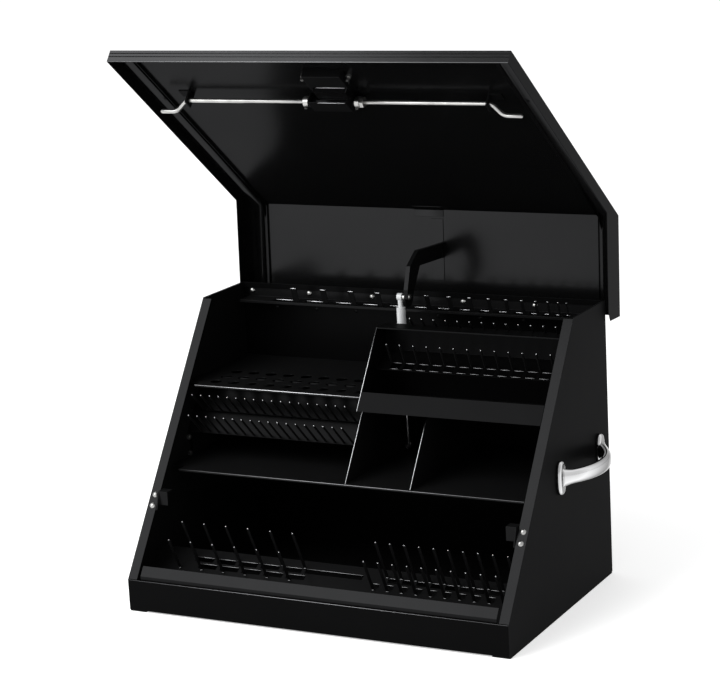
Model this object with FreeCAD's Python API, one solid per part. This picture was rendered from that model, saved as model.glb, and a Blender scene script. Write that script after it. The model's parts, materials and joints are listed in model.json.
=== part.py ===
import FreeCAD, Part
import math
import os
from FreeCAD import Placement, Rotation, Vector

# Triangle top tool chest, lid open: +X to the right side, +Y to the back, +Z up, in millimetres.
# Everything is built with y = 0 at the front lip's face and z = 0 on the floor.
# The export moves the whole chest so that the origin is the bottom centre of its box.

# Case
CASE_WIDTH = 762.0
CASE_DEPTH = 483.0
CASE_HEIGHT = 522.0
LIP_HEIGHT = 60.0
TOP_FRONT_Y = 330.0
SHEET = 1.2
SLOPE_FLANGE = 19.0
HEM_WIDTH = 3.0
HEM_HEIGHT = 10.0
RUNNER_WIDTH = 34.0
RUNNER_HEIGHT = 3.0
FIT_GAP = 0.3
BOLT_GAP = 0.1
RUNNING_GAP = 0.05

# Lid
LID_WIDTH = 776.0
LID_OFFSET = 24.0
LID_OVERHANG = 2.0
LID_FLANGE = 23.0
LID_TOP_FLANGE = 57.0
LID_TAIL = 15.4
LID_TAIL_CUT = (16.0, 8.0)
LID_REAR_FLANGE = 42.0
LID_OPEN_ANGLE = 91.85

# Piano hinge
LEAF = 1.8
KNUCKLE_R = 5.5
HINGE_PIN_R = 2.5
HINGE_DROP = 24.9
HINGE_LENGTH = 700.0
HINGE_PAIRS = 10
LEAF_HEIGHT = 36.0
RIVET_R = 2.2
RIVET_HEAD_R = 4.0
RIVET_HEAD = 1.6
RIVETS_PER_LEAF = 8

# Front of the bin and its plier rack
STRIP_WIDTH = 713.0
STRIP_FROM = 9.0
STRIP_TO = 29.5
STRIP_RETURN = 6.0
SEAL_HEIGHT = 11.0
SEAL_RISE = 1.0
RACK_TILT = 27.0
RACK_FOOT = (88.0, 62.0)
RACK_REAR = 52.4
RACK_REAR_FLANGE = 10.0
FINGER_WIDTH = 6.0
FINGER = 1.6
FRONT_FINGER = 71.0
BACK_FINGER = 88.0
BACK_FINGER_AT = 33.0
LEFT_FINGERS = 6
LEFT_PITCH = 46.3
LEFT_FRONT_X = -322.0
LEFT_BACK_X = -304.0
RIGHT_FINGERS = 10
RIGHT_PITCH = 28.3
RIGHT_FRONT_X = 80.0
RIGHT_BACK_X = 94.6
LOWER_SLOTS = (4.3, 15.3)
UPPER_SLOTS = (20.9, 31.9)
LEFT_SLOT_WIDTH = 38.0
LEFT_LOWER_SLOT_X = -267.0
LONG_SLOT = (-69.0, 48.0)
RIGHT_UPPER_SLOT_WIDTH = 20.0
RIGHT_LOWER_SLOT_WIDTH = 15.0

# Shelves and dividers
SHELF_Z = 232.0
SHELF_DEPTH_N = -24.0
SHELF_HEM = 4.0
SHELF_NOSE_WIDTH = 702.0
SHELF_NOSE = 20.0
BIN_DIVIDER_X = 130.0
BIN_DIVIDER_REAR_Z = 300.0
SOCKET_SHELF_Z = 376.0
SOCKET_SHELF_N = -2.68
SOCKET_HOLE_R = 11.0
SOCKET_PITCH = 38.0
SOCKET_HOLES = 9
SOCKET_ROWS = (34.0, 73.0, 112.0)

# Left prong rack, in slope coordinates
PRONG_R = 2.0
PRONG_RACK_N = -66.0
PRONG_RACK_FROM = 318.0
PRONG_RACK_LEDGE = 362.0
PRONG_LEDGE_DEPTH = 8.0
PRONG_TIP_N = -8.0
PRONG_ROWS = ((364.0, 371.7, -354.0), (322.0, 330.0, -350.0))
PRONG_COUNT = 18
PRONG_PITCH = 19.1

# Right tray: down the slope from the case's top corner, and its lengths along the slope
TRAY_DROP = 39.8
TRAY_SPAN = 167.0
TRAY_LIP = 39.0
TRAY_TOP_DEPTH = 38.0
TRAY_HEM = 3.0
TRAY_HEM_WIDTH = 6.0
TRAY_LEDGE_DROP = 49.5
TRAY_LEDGE_N = -43.4
TRAY_LEDGE_FRONT = -23.0
TRAY_SLOTS = (-19.0, -2.0)
TRAY_SLOT_WIDTH = 20.0
TRAY_PRONG_X = 24.0
TRAY_PRONGS = 13
TRAY_PITCH = 27.0
TRAY_PRONG = 40.0
TRAY_PRONG_AT = 2.0
UPPER_PRONG_X = 59.0
UPPER_PRONGS = 13
UPPER_PITCH = 24.0
UPPER_PRONG_AT = 33.0
UPPER_PRONG_RISE = 24.0

# Top rack on the back panel
TOP_RACK_X = (-366.0, 376.0)
TOP_RACK_DROP = 27.0
TOP_RACK_DEPTH = 41.8
TOP_RACK_LEG = 17.0
TOP_RACK_HEM = 5.0
TOP_SLOTS = 15
TOP_SLOT_X = -275.0
TOP_SLOT_PITCH = 66.0
TOP_SLOT_STEP = 3.65
TOP_SLOT_SHARE = 0.62
TOP_SLOT_FRONT = 9.0
TOP_SLOT_DEPTH = 12.0
TOP_FINGER_SHARE = 0.2
TOP_FINGER_LEAN = 11.0
TOP_FINGER_HEIGHT = 29.0
TOP_FINGER_AT = 6.0
TOP_BOLT_DROP = 16.5
TOP_BOLT_NUT = 2.2
TOP_BOLT_X = (-359.0, -232.0, -95.0, 97.0, 243.0)

# Bolts
BOLT_R = 3.0
BOLT_HEAD_R = 5.6
BOLT_HEAD = 3.4
NUT_R = 5.2
NUT = 4.5
BOLT_TAIL = 0.6

# Side handles
HANDLE_FROM_BACK = (243.0, 53.0)
HANDLE_RISE = 21.0
HANDLE_REACH = 46.0
HANDLE_BAR = (7.0, 11.0)
HANDLE_FOOT = (19.0, 31.0)
HANDLE_FOOT_THICK = 6.0
HANDLE_BOLT_PITCH = 31.0
HANDLE_SCREW_HEAD_R = 4.2

# Keepers
KEEPER_SHEET = 2.5
KEEPER_X = (341.0, 361.0)
KEEPER_Z = (179.0, 205.0)
KEEPER_TOP = 20.0
KEEPER_FOOT = (138.0, 176.0)
KEEPER_SCREWS = (146.1, 167.4)
KEEPER_SCREW_X = 371.0

# Latch, in lid coordinates: from the lid's front edge, and depth below its skin
ROD_R = 4.0
ROD_AXIS = (147.0, 16.0)
ROD_END = (160.0, 32.0)
ROD_END_X = 357.6
CRANK_X = (302.0, 323.0)
HUB_R = 7.0
HUB_X = (-48.0, 44.0)
HUB_LEVER = (14.0, 13.0)
COLLAR_R = 10.0
LEFT_COLLAR_X = (-57.5, -48.3)
RIGHT_COLLAR_X = (44.3, 52.5)
ROD_NUT_X = (52.8, 60.0)
SET_SCREW_R = 2.5
SET_SCREW = 14.0
BRACKET_X = (-40.0, 36.0)
BRACKET_S = (126.0, 157.0)
BRACKET_E = 30.0
BRACKET_SHEET = 2.0
GUIDE_X = 298.0
GUIDE_THICK = 3.0
GUIDE_FOOT = 20.0
GUIDE_FOOT_THICK = 1.5
GUIDE_HALF = 10.0
GUIDE_TOP = 26.0
DISH_X = (-27.0, 48.0)
DISH_S = (62.0, 106.0)
DISH_E = 16.0
DISH_RIM = 16.0
DISH_RIM_THICK = 1.5
DISH_SCREW_S = 80.0
DISH_SCREW_TAIL = 7.0
PADDLE_GAP = 3.0
PADDLE_THICK = 2.5
PADDLE_AXIS = (99.0, 6.0)
PADDLE_BARREL_R = 4.0
PADDLE_PIN_R = 2.0
LOCK_X = -6.0
LOCK_S = 117.0
LOCK_R = 7.5
LOCK_COLLAR_R = 9.5
LOCK_PLUG_R = 5.5
LOCK_DEPTH = 20.0
LOCK_CAM = (13.0, 2.0)
KEYWAY = (1.6, 7.0, 4.0)

# Lid stiffening
STIFFENER_WIDTH = 38.0
STIFFENER_LIP = 5.0
GUSSET = 26.0
CENTRE_STRIP_X = (8.0, 33.0)
CENTRE_STRIP_U = (18.0, 137.0)
STRIP_THICK = 1.5
BEND_BRACKET_X = (-27.0, 34.0)
BEND_BRACKET_LEG = 14.0

# Lid stay arm and gas strut, (y, z) from the hinge's axis
ARM_X = 28.0
ARM_THICK = 2.0
ARM_FLANGE = 8.0
ARM_OUTER_AT = ((-2.6, 110.9), (-66.6, 114.9), (-104.6, 91.9), (-119.6, 49.9), (-120.6, 32.9))
ARM_INNER_AT = ((-84.6, 32.9), (-72.6, 50.9), (-50.6, 82.9))
ARM_FOOT_U = (63.0, 93.0)
ARM_EYE_AT = (-102.6, 32.9)
ARM_EYE_R = 18.0
STRUT_FOOT_AT = -95.6
STRUT_FOOT_RISE = 8.0
STRUT_X = (7.0, 16.5)
STRUT_EYE_R = 7.0
STRUT_NECK_R = 5.0
STRUT_NECK = 20.0
CYLINDER_R = 8.5
CYLINDER_WALL = 1.3
CYLINDER_LENGTH = 138.0
CYLINDER_END = 3.0
GLAND = 4.0
STRUT_ROD_R = 4.0
PISTON = 6.0
STUD_R = 3.0
STUD_PLATE = 15.0

# Worked out from the sizes above
HALF = CASE_WIDTH / 2
INNER = HALF - SHEET
LID_HALF = LID_WIDTH / 2
BACK_FACE = CASE_DEPTH - SHEET
FLOOR = RUNNER_HEIGHT + SHEET
SLOPE_RISE = CASE_HEIGHT - LIP_HEIGHT
SLOPE_ANGLE = math.degrees(math.atan2(SLOPE_RISE, TOP_FRONT_Y))
SLOPE_LENGTH = math.hypot(SLOPE_RISE, TOP_FRONT_Y)
LID_TOP = CASE_HEIGHT + LID_OFFSET
LID_SLOPE = LID_OVERHANG + SLOPE_LENGTH + LID_OFFSET * math.tan(math.radians(SLOPE_ANGLE / 2))
HINGE = (CASE_DEPTH + LEAF + FIT_GAP + KNUCKLE_R, CASE_HEIGHT - HINGE_DROP)
LID_BACK = HINGE[0] + KNUCKLE_R + FIT_GAP
TRAY_TO = SLOPE_LENGTH - TRAY_DROP
TRAY_FROM = TRAY_TO - TRAY_SPAN
TRAY_LIP_TO = TRAY_FROM + TRAY_LIP
TOP_RACK_Z = CASE_HEIGHT - TOP_RACK_DROP
TOP_BOLT_Z = CASE_HEIGHT - TOP_BOLT_DROP
HANDLE_Y = tuple(CASE_DEPTH - v for v in HANDLE_FROM_BACK)
HANDLE_Z = SHELF_Z + HANDLE_RISE
ARM_OUTER = tuple((HINGE[0] + y, HINGE[1] + z) for y, z in ARM_OUTER_AT)
ARM_INNER = tuple((HINGE[0] + y, HINGE[1] + z) for y, z in ARM_INNER_AT)
ARM_EYE = (HINGE[0] + ARM_EYE_AT[0], HINGE[1] + ARM_EYE_AT[1])
STRUT_FOOT = (HINGE[0] + STRUT_FOOT_AT, SHELF_Z + STRUT_FOOT_RISE)


def slope(s, n):
    """Point (y, z) at s up the case's slope and n above it."""
    a = math.radians(SLOPE_ANGLE)
    return (s * math.cos(a) - n * math.sin(a), LIP_HEIGHT + s * math.sin(a) + n * math.cos(a))


def on_depth(n, z):
    """Point (y, z) at height z on the plane n above the slope."""
    a = math.radians(SLOPE_ANGLE)
    s = (z - LIP_HEIGHT - n * math.cos(a)) / math.sin(a)
    return (s * math.cos(a) - n * math.sin(a), z)


def box(x, y, z):
    return Part.makeBox(x[1] - x[0], y[1] - y[0], z[1] - z[0], Vector(x[0], y[0], z[0]))


def tilt(shape, angle, y, z):
    """Turns a shape made about the X axis by an angle, then moves it to (y, z)."""
    moved = shape.copy()
    moved.Placement = Placement(Vector(0, y, z), Rotation(Vector(1, 0, 0), angle)) * moved.Placement
    return moved


def on_slope(shape):
    """Moves a shape made in (x, s, n) onto the case's slope."""
    return tilt(shape, SLOPE_ANGLE, 0, LIP_HEIGHT)


def on_rack(shape, foot):
    """Moves a shape made in (x, along, above) onto a tilted rack with its zero at foot."""
    return tilt(shape, RACK_TILT, foot[0], foot[1])


def extrude(points, x):
    """A solid of the outline (y, z) between two x values."""
    loop = [Vector(x[0], y, z) for y, z in points]
    face = Part.Face(Part.makePolygon(loop + loop[:1]))
    return face.extrude(Vector(x[1] - x[0], 0, 0))


def bent_sheet(points, thickness, x):
    """A sheet whose face follows points (y, z); its thickness lies to the left of the path."""
    inner = []
    for i, point in enumerate(points):
        normals = []
        for a, b in zip(points[max(i - 1, 0):i + 1], points[max(i - 1, 0) + 1:i + 2]):
            length = math.hypot(b[0] - a[0], b[1] - a[1])
            normals.append(((a[1] - b[1]) / length, (b[0] - a[0]) / length))
        mid = [sum(n[k] for n in normals) / len(normals) for k in (0, 1)]
        scale = thickness / (mid[0] ** 2 + mid[1] ** 2)
        inner.append((point[0] + mid[0] * scale, point[1] + mid[1] * scale))
    return extrude(list(points) + inner[::-1], x)


def rod(start, end, radius):
    """A round bar between two points (x, y, z)."""
    a = Vector(*start)
    b = Vector(*end)
    return Part.makeCylinder(radius, (b - a).Length, a, b - a)


def headed_pin(centre, direction, head_r, head, shank_r, shank):
    """Turned pin: a low round head that stands on centre, and its shank behind it."""
    ball_r = (head_r ** 2 + head ** 2) / (2 * head)
    half = math.asin(min(1, head_r / ball_r)) / 2
    middle = Vector(ball_r * math.sin(half), 0, head - ball_r + ball_r * math.cos(half))
    points = [Vector(0, 0, -shank), Vector(shank_r, 0, -shank), Vector(shank_r, 0, 0), Vector(head_r, 0, 0)]
    edges = [Part.makeLine(a, b) for a, b in zip(points, points[1:])]
    edges += [Part.Arc(points[-1], middle, Vector(0, 0, head)).toShape(),
              Part.makeLine(Vector(0, 0, head), points[0])]
    pin = Part.Face(Part.Wire(edges)).revolve(Vector(0, 0, 0), Vector(0, 0, 1), 360)
    pin.Placement = Placement(Vector(*centre), Rotation(Vector(0, 0, 1), Vector(*direction)))
    return pin


def hexagon(centre, direction, radius, height):
    """A six-sided nut blank that stands on centre and points along direction."""
    corners = [Vector(radius * math.cos(math.radians(a)), radius * math.sin(math.radians(a)), 0)
               for a in range(0, 420, 60)]
    nut = Part.Face(Part.makePolygon(corners)).extrude(Vector(0, 0, height))
    nut.Placement = Placement(Vector(*centre), Rotation(Vector(0, 0, 1), Vector(*direction)))
    return nut


def fuse(shapes):
    whole = shapes[0].fuse(list(shapes[1:])).removeSplitter()
    return whole.Solids[0] if len(whole.Solids) == 1 else whole


def cut(shape, tools):
    result = shape.cut(list(tools))
    return result.Solids[0] if len(result.Solids) == 1 else result


def mirror(shape):
    return shape.mirror(Vector(0, 0, 0), Vector(1, 0, 0))


def open_lid(shape):
    """Swings a shape from the closed lid's place to the open one."""
    moved = shape.copy()
    axis = Vector(0, HINGE[0], HINGE[1])
    turn = Placement(Vector(0, 0, 0), Rotation(Vector(1, 0, 0), -LID_OPEN_ANGLE), axis)
    moved.Placement = turn * moved.Placement
    return moved


def on_lid(shape):
    """Moves a shape made in (x, from the lid's front edge, depth) to the closed lid."""
    turn = Placement(Vector(0, -LID_OVERHANG, LID_OFFSET), Rotation(Vector(1, 0, 0), 0))
    moved = shape.copy()
    moved.Placement = turn * moved.Placement
    return on_slope(moved)


def lid_box(x, s, e):
    """A block on the slope panel of the lid; e is the depth below its skin."""
    return on_lid(box(x, s, (-e[1], -e[0])))


def lid_point(x, s, e):
    y, z = slope(s - LID_OVERHANG, LID_OFFSET - e)
    return (x, y, z)


def top_box(x, u, e):
    """A block on the top panel of the lid, u behind its bend."""
    bend = lid_bend(0)
    return box(x, (bend[0] + u[0], bend[0] + u[1]), (LID_TOP - e[1], LID_TOP - e[0]))


def lid_bend(e):
    """Corner (y, z) between the lid's two panels at a depth below the skin."""
    return on_depth(LID_OFFSET - e, LID_TOP - e)


def step(start, pitch, count):
    return [start + pitch * i for i in range(count)]


def side_panel():
    """Right side panel with its slope flange, top hem and handle holes."""
    outline = [(0, RUNNER_HEIGHT), (CASE_DEPTH, RUNNER_HEIGHT), (CASE_DEPTH, CASE_HEIGHT),
               (TOP_FRONT_Y, CASE_HEIGHT), (0, LIP_HEIGHT)]
    skin = extrude(outline, (INNER, HALF))
    flange = on_slope(box((HALF - SLOPE_FLANGE, HALF - SHEET / 2),
                          (LID_OVERHANG, SLOPE_LENGTH - LID_OVERHANG), (-SHEET, 0)))
    hem = box((INNER - HEM_WIDTH, HALF - SHEET / 2),
              (TOP_FRONT_Y + HEM_HEIGHT, CASE_DEPTH - SHEET - HEM_WIDTH),
              (CASE_HEIGHT - HEM_HEIGHT, CASE_HEIGHT))
    holes = [rod((INNER - SLOPE_FLANGE, y, z), (HALF + SHEET, y, z), BOLT_R + BOLT_GAP)
             for y, z in handle_bolts()]
    holes += [keeper_hole(s) for s in KEEPER_SCREWS]
    return cut(fuse([skin, flange, hem]), holes)


def handle_bolts():
    return [(y, HANDLE_Z + side * HANDLE_BOLT_PITCH / 2) for y in HANDLE_Y for side in (-1, 1)]


def keeper_hole(s):
    hole = Part.makeCylinder(BOLT_R + BOLT_GAP, 20, Vector(KEEPER_SCREW_X, s, -10))
    return on_slope(hole)


def back_panel():
    skin = box((-INNER, INNER), (BACK_FACE, CASE_DEPTH), (RUNNER_HEIGHT, CASE_HEIGHT))
    hem = box((-INNER, INNER), (BACK_FACE - HEM_WIDTH, BACK_FACE),
              (CASE_HEIGHT - HEM_HEIGHT, CASE_HEIGHT))
    holes = [rod((x, BACK_FACE - HEM_WIDTH, TOP_BOLT_Z), (x, CASE_DEPTH + SHEET, TOP_BOLT_Z),
                 BOLT_R + BOLT_GAP) for x in TOP_BOLT_X]
    holes += [rod((x, BACK_FACE - SHEET, case_rivet_z()), (x, CASE_DEPTH + SHEET, case_rivet_z()),
                  RIVET_R + BOLT_GAP) for x in rivet_xs()]
    return cut(fuse([skin, hem]), holes)


def front_lip():
    skin = box((-INNER, INNER), (0, SHEET), (RUNNER_HEIGHT, LIP_HEIGHT))
    hem = box((-INNER, INNER), (0, HEM_WIDTH), (LIP_HEIGHT - HEM_HEIGHT, LIP_HEIGHT))
    return fuse([skin, hem])


def bottom_panel():
    return box((-INNER, INNER), (SHEET, BACK_FACE), (RUNNER_HEIGHT, FLOOR))


def runner():
    return box((HALF - RUNNER_WIDTH, HALF), (LID_OVERHANG, CASE_DEPTH - LID_OVERHANG),
               (0, RUNNER_HEIGHT))


def strip_foot():
    """Face of the front strip's upright web."""
    return slope(STRIP_FROM, 0)[0]


def front_strip():
    """Strip in the slope's plane behind the lip, with the web that stands on the bottom."""
    path = [(strip_foot(), FLOOR), slope(STRIP_FROM, 0), slope(STRIP_TO, 0),
            slope(STRIP_TO, -STRIP_RETURN)]
    return bent_sheet(path[::-1], SHEET, (-STRIP_WIDTH / 2, STRIP_WIDTH / 2))


def lip_seal():
    return box((-STRIP_WIDTH / 2, STRIP_WIDTH / 2), (HEM_WIDTH, strip_foot()),
               (LIP_HEIGHT + SEAL_RISE - SEAL_HEIGHT, LIP_HEIGHT + SEAL_RISE))


def finger(x, width, along, length):
    """Flat finger with a round tip that stands on a rack at zero height."""
    half = width / 2
    left = Vector(x - half, along, 0)
    right = Vector(x + half, along, 0)
    left_top = left + Vector(0, 0, length - half)
    right_top = right + Vector(0, 0, length - half)
    tip = Vector(x, along, length)
    edges = [Part.makeLine(left, right), Part.makeLine(right, right_top),
             Part.Arc(right_top, tip, left_top).toShape(), Part.makeLine(left_top, left)]
    return Part.Face(Part.Wire(edges)).extrude(Vector(0, FINGER, 0))


def plier_rack():
    """Slotted rack, tilted up to the rear, between the front strip's web and the side panels."""
    web = strip_foot() + SHEET
    a = math.radians(RACK_TILT)
    front = (web, RACK_FOOT[1] - (RACK_FOOT[0] - web) * math.tan(a))
    rear = (RACK_FOOT[0] + RACK_REAR * math.cos(a), RACK_FOOT[1] + RACK_REAR * math.sin(a))
    down = (rear[0], rear[1] - RACK_REAR_FLANGE)
    plate = extrude([front, rear, down, (down[0] - SHEET, down[1]),
                     (rear[0] - SHEET, rear[1] - SHEET / math.cos(a) - SHEET * math.tan(a)),
                     (front[0], front[1] - SHEET / math.cos(a))], (-INNER, INNER))
    slots = []
    for x in step(LEFT_BACK_X + LEFT_PITCH / 2, LEFT_PITCH, LEFT_FINGERS - 1):
        slots.append((x, LEFT_SLOT_WIDTH, UPPER_SLOTS))
    for x in step(LEFT_LOWER_SLOT_X, LEFT_PITCH, LEFT_FINGERS - 1):
        slots.append((x, LEFT_SLOT_WIDTH, LOWER_SLOTS))
    for x in step(RIGHT_BACK_X + RIGHT_PITCH / 2, RIGHT_PITCH, RIGHT_FINGERS - 1):
        slots.append((x, RIGHT_UPPER_SLOT_WIDTH, UPPER_SLOTS))
    for x in step(RIGHT_FRONT_X, RIGHT_PITCH, RIGHT_FINGERS - 1):
        slots.append((x, RIGHT_LOWER_SLOT_WIDTH, LOWER_SLOTS))
    slots.append(((LONG_SLOT[0] + LONG_SLOT[1]) / 2, LONG_SLOT[1] - LONG_SLOT[0], UPPER_SLOTS))
    tools = [on_rack(box((x - w / 2, x + w / 2), p, (-3 * SHEET, 3 * SHEET)), RACK_FOOT)
             for x, w, p in slots]
    return cut(plate, tools)


def rack_fingers(left_x, right_x, along, length):
    xs = step(left_x, LEFT_PITCH, LEFT_FINGERS) + step(right_x, RIGHT_PITCH, RIGHT_FINGERS)
    return Part.makeCompound([on_rack(finger(x, FINGER_WIDTH, along, length), RACK_FOOT) for x in xs])


def shelf(x, front, z, nose, nose_depth):
    """Shelf with a turned-down front edge, narrower in front than behind."""
    plate = box(x, (front + nose_depth, BACK_FACE), (z - SHEET, z))
    front_plate = box(nose, (front, front + nose_depth), (z - SHEET, z))
    hem = box(nose, (front, front + SHEET), (z - SHELF_HEM, z))
    return fuse([plate, front_plate, hem])


def middle_shelf():
    nose = SHELF_NOSE_WIDTH / 2
    front = on_depth(SHELF_DEPTH_N, SHELF_Z)[0]
    return shelf((-INNER, INNER), front, SHELF_Z, (-nose, nose), SHELF_NOSE)


def centre_divider():
    top = SOCKET_SHELF_Z - SHEET
    outline = [on_depth(SHELF_DEPTH_N, SHELF_Z), on_depth(SHELF_DEPTH_N, top), (BACK_FACE, top),
               (BACK_FACE, SHELF_Z)]
    plate = extrude(outline, (-SHEET / 2, SHEET / 2))
    hole = rod((-SHEET, *STRUT_FOOT), (SHEET, *STRUT_FOOT), STUD_R + BOLT_GAP)
    return cut(plate, [hole])


def bin_divider():
    top = slope(TRAY_FROM, 0)[1] - SHEET
    outline = [on_depth(SHELF_DEPTH_N, SHELF_Z), on_depth(SHELF_DEPTH_N, top), (tray_back(), top),
               (BACK_FACE, BIN_DIVIDER_REAR_Z), (BACK_FACE, SHELF_Z)]
    return extrude(outline, (BIN_DIVIDER_X - SHEET / 2, BIN_DIVIDER_X + SHEET / 2))


def socket_shelf():
    nose = (-SHELF_NOSE_WIDTH / 2, -SHEET / 2)
    front = on_depth(SOCKET_SHELF_N, SOCKET_SHELF_Z)[0]
    body = shelf((-INNER, SHEET / 2), front, SOCKET_SHELF_Z, nose, SHELF_NOSE)
    first = -SHEET / 2 - SOCKET_PITCH / 2 - SOCKET_PITCH * (SOCKET_HOLES - 1)
    holes = [Part.makeCylinder(SOCKET_HOLE_R, 4 * SHEET, Vector(x, front + y, SOCKET_SHELF_Z - 2 * SHEET))
             for x in step(first, SOCKET_PITCH, SOCKET_HOLES) for y in SOCKET_ROWS]
    return cut(body, holes)


def prong_rack():
    top = SOCKET_SHELF_Z - SHEET
    outline = [slope(PRONG_RACK_FROM, PRONG_RACK_N), on_depth(PRONG_RACK_N, top),
               on_depth(PRONG_RACK_N - SHEET, top), slope(PRONG_RACK_FROM, PRONG_RACK_N - SHEET)]
    plate = extrude(outline, (-INNER, -SHEET / 2))
    ledge = on_slope(box((-INNER, -SHEET / 2), (PRONG_RACK_LEDGE - SHEET, PRONG_RACK_LEDGE),
                         (PRONG_RACK_N - SHEET / 2, PRONG_RACK_N + PRONG_LEDGE_DEPTH)))
    return fuse([plate, ledge])


def prong(x, foot, tip, foot_plane):
    """Round prong with a round tip between two points of a plane, its foot cut by a seat."""
    start = Vector(x, *foot)
    way = Vector(x, *tip) - start
    top = way.Length
    base = Vector(0, 0, -PRONG_R)
    shoulder = Vector(PRONG_R, 0, top - PRONG_R)
    round_tip = Part.Arc(shoulder, Vector(PRONG_R * math.sin(math.pi / 4), 0,
                                          top - PRONG_R + PRONG_R * math.cos(math.pi / 4)),
                         Vector(0, 0, top))
    edges = [Part.makeLine(base, base + Vector(PRONG_R, 0, 0)),
             Part.makeLine(base + Vector(PRONG_R, 0, 0), shoulder),
             round_tip.toShape(), Part.makeLine(Vector(0, 0, top), base)]
    body = Part.Face(Part.Wire(edges)).revolve(Vector(0, 0, 0), Vector(0, 0, 1), 360)
    body.Placement = Placement(start, Rotation(Vector(0, 0, 1), way))
    return body.cut(foot_plane)


def prong_rack_prongs():
    seat = box((-HALF, HALF), (0, SLOPE_LENGTH), (-SLOPE_LENGTH, PRONG_RACK_N))
    prongs = [prong(x, (foot, PRONG_RACK_N), (tip, PRONG_TIP_N), seat)
              for foot, tip, first in PRONG_ROWS for x in step(first, PRONG_PITCH, PRONG_COUNT)]
    return Part.makeCompound([on_slope(p) for p in prongs])


def tray_back():
    return slope(TRAY_TO, 0)[0] + TRAY_TOP_DEPTH


def tray_ledge_foot():
    return slope(TRAY_TO - TRAY_LEDGE_DROP, TRAY_LEDGE_N)


def tray():
    """Formed tray: front lip in the slope's plane, floor, back, top, left end and ledge."""
    path = [slope(TRAY_LIP_TO, 0), slope(TRAY_FROM, 0), (tray_back(), slope(TRAY_FROM, 0)[1]),
            (tray_back(), slope(TRAY_TO, 0)[1]), slope(TRAY_TO, 0), slope(TRAY_TO - TRAY_HEM, 0)]
    body = bent_sheet(path, SHEET, (SHEET / 2, INNER))
    hem = on_slope(box((SHEET / 2, INNER), (TRAY_LIP_TO - TRAY_HEM_WIDTH, TRAY_LIP_TO),
                       (-TRAY_HEM, -SHEET / 2)))
    end = extrude(path[1:5], (SHEET / 2, SHEET / 2 + SHEET))
    end = end.cut(on_slope(box((0, HEM_WIDTH), (0, TRAY_LIP_TO + SHEET), (-SHEET, SHEET))))
    ledge = ledge_plate()
    notch = on_slope(box((HALF - SLOPE_FLANGE - FIT_GAP, HALF), (0, SLOPE_LENGTH),
                         (-SHEET - FIT_GAP, SHEET)))
    low_notch = on_slope(box((HALF - SLOPE_FLANGE - FIT_GAP, HALF),
                             (TRAY_LIP_TO - TRAY_HEM_WIDTH - FIT_GAP, TRAY_LIP_TO + FIT_GAP),
                             (-TRAY_HEM - FIT_GAP, 0)))
    return cut(fuse([body, hem, end, ledge]), [notch, low_notch])


def ledge_plate():
    """Slotted ledge inside the tray, tilted up to the rear until it meets the tray's back."""
    foot = tray_ledge_foot()
    reach = (tray_back() - SHEET / 2 - foot[0]) / math.cos(math.radians(RACK_TILT))
    plate = on_rack(box((SHEET, INNER), (TRAY_LEDGE_FRONT, reach), (-SHEET, 0)), foot)
    first = TRAY_PRONG_X + TRAY_PITCH / 2
    slots = [on_rack(box((x - TRAY_SLOT_WIDTH / 2, x + TRAY_SLOT_WIDTH / 2), TRAY_SLOTS,
                         (-3 * SHEET, 3 * SHEET)), foot)
             for x in step(first, TRAY_PITCH, TRAY_PRONGS - 1)]
    return cut(plate, slots)


def tray_prongs():
    seat = box((0, HALF), (-TRAY_PRONG, TRAY_PRONG), (-TRAY_PRONG, 0))
    at = TRAY_PRONG_AT
    prongs = [prong(x, (at, 0), (at, TRAY_PRONG), seat)
              for x in step(TRAY_PRONG_X, TRAY_PITCH, TRAY_PRONGS)]
    return Part.makeCompound([on_rack(p, tray_ledge_foot()) for p in prongs])


def tray_upper_prongs():
    edge, top = slope(TRAY_TO, 0)
    seat = box((0, HALF), (0, CASE_DEPTH), (0, top))
    tip = slope(TRAY_TO + UPPER_PRONG_RISE, PRONG_TIP_N)
    return Part.makeCompound([prong(x, (edge + UPPER_PRONG_AT, top), tip, seat)
                              for x in step(UPPER_PRONG_X, UPPER_PITCH, UPPER_PRONGS)])


def top_slots():
    """Centre and pitch of each slot of the top rack, closer together to the right."""
    slots = []
    x = TOP_SLOT_X
    for i in range(TOP_SLOTS):
        pitch = TOP_SLOT_PITCH - TOP_SLOT_STEP * i
        slots.append((x, pitch))
        x += pitch
    return slots


def top_rack():
    front = BACK_FACE - TOP_RACK_DEPTH
    ledge = box(TOP_RACK_X, (front, BACK_FACE), (TOP_RACK_Z - SHEET, TOP_RACK_Z))
    leg = box(TOP_RACK_X, (BACK_FACE - SHEET, BACK_FACE), (TOP_RACK_Z - SHEET, TOP_RACK_Z + TOP_RACK_LEG))
    hem = box(TOP_RACK_X, (front, front + SHEET), (TOP_RACK_Z - TOP_RACK_HEM, TOP_RACK_Z))
    y = (front + TOP_SLOT_FRONT, front + TOP_SLOT_FRONT + TOP_SLOT_DEPTH)
    tools = [box((x - pitch * TOP_SLOT_SHARE / 2, x + pitch * TOP_SLOT_SHARE / 2), y,
                 (TOP_RACK_Z - 3 * SHEET, TOP_RACK_Z + SHEET)) for x, pitch in top_slots()]
    tools += [rod((x, BACK_FACE - 3 * SHEET, TOP_BOLT_Z), (x, BACK_FACE + SHEET, TOP_BOLT_Z),
                  BOLT_R + BOLT_GAP) for x in TOP_BOLT_X]
    return cut(fuse([ledge, leg, hem]), tools)


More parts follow.
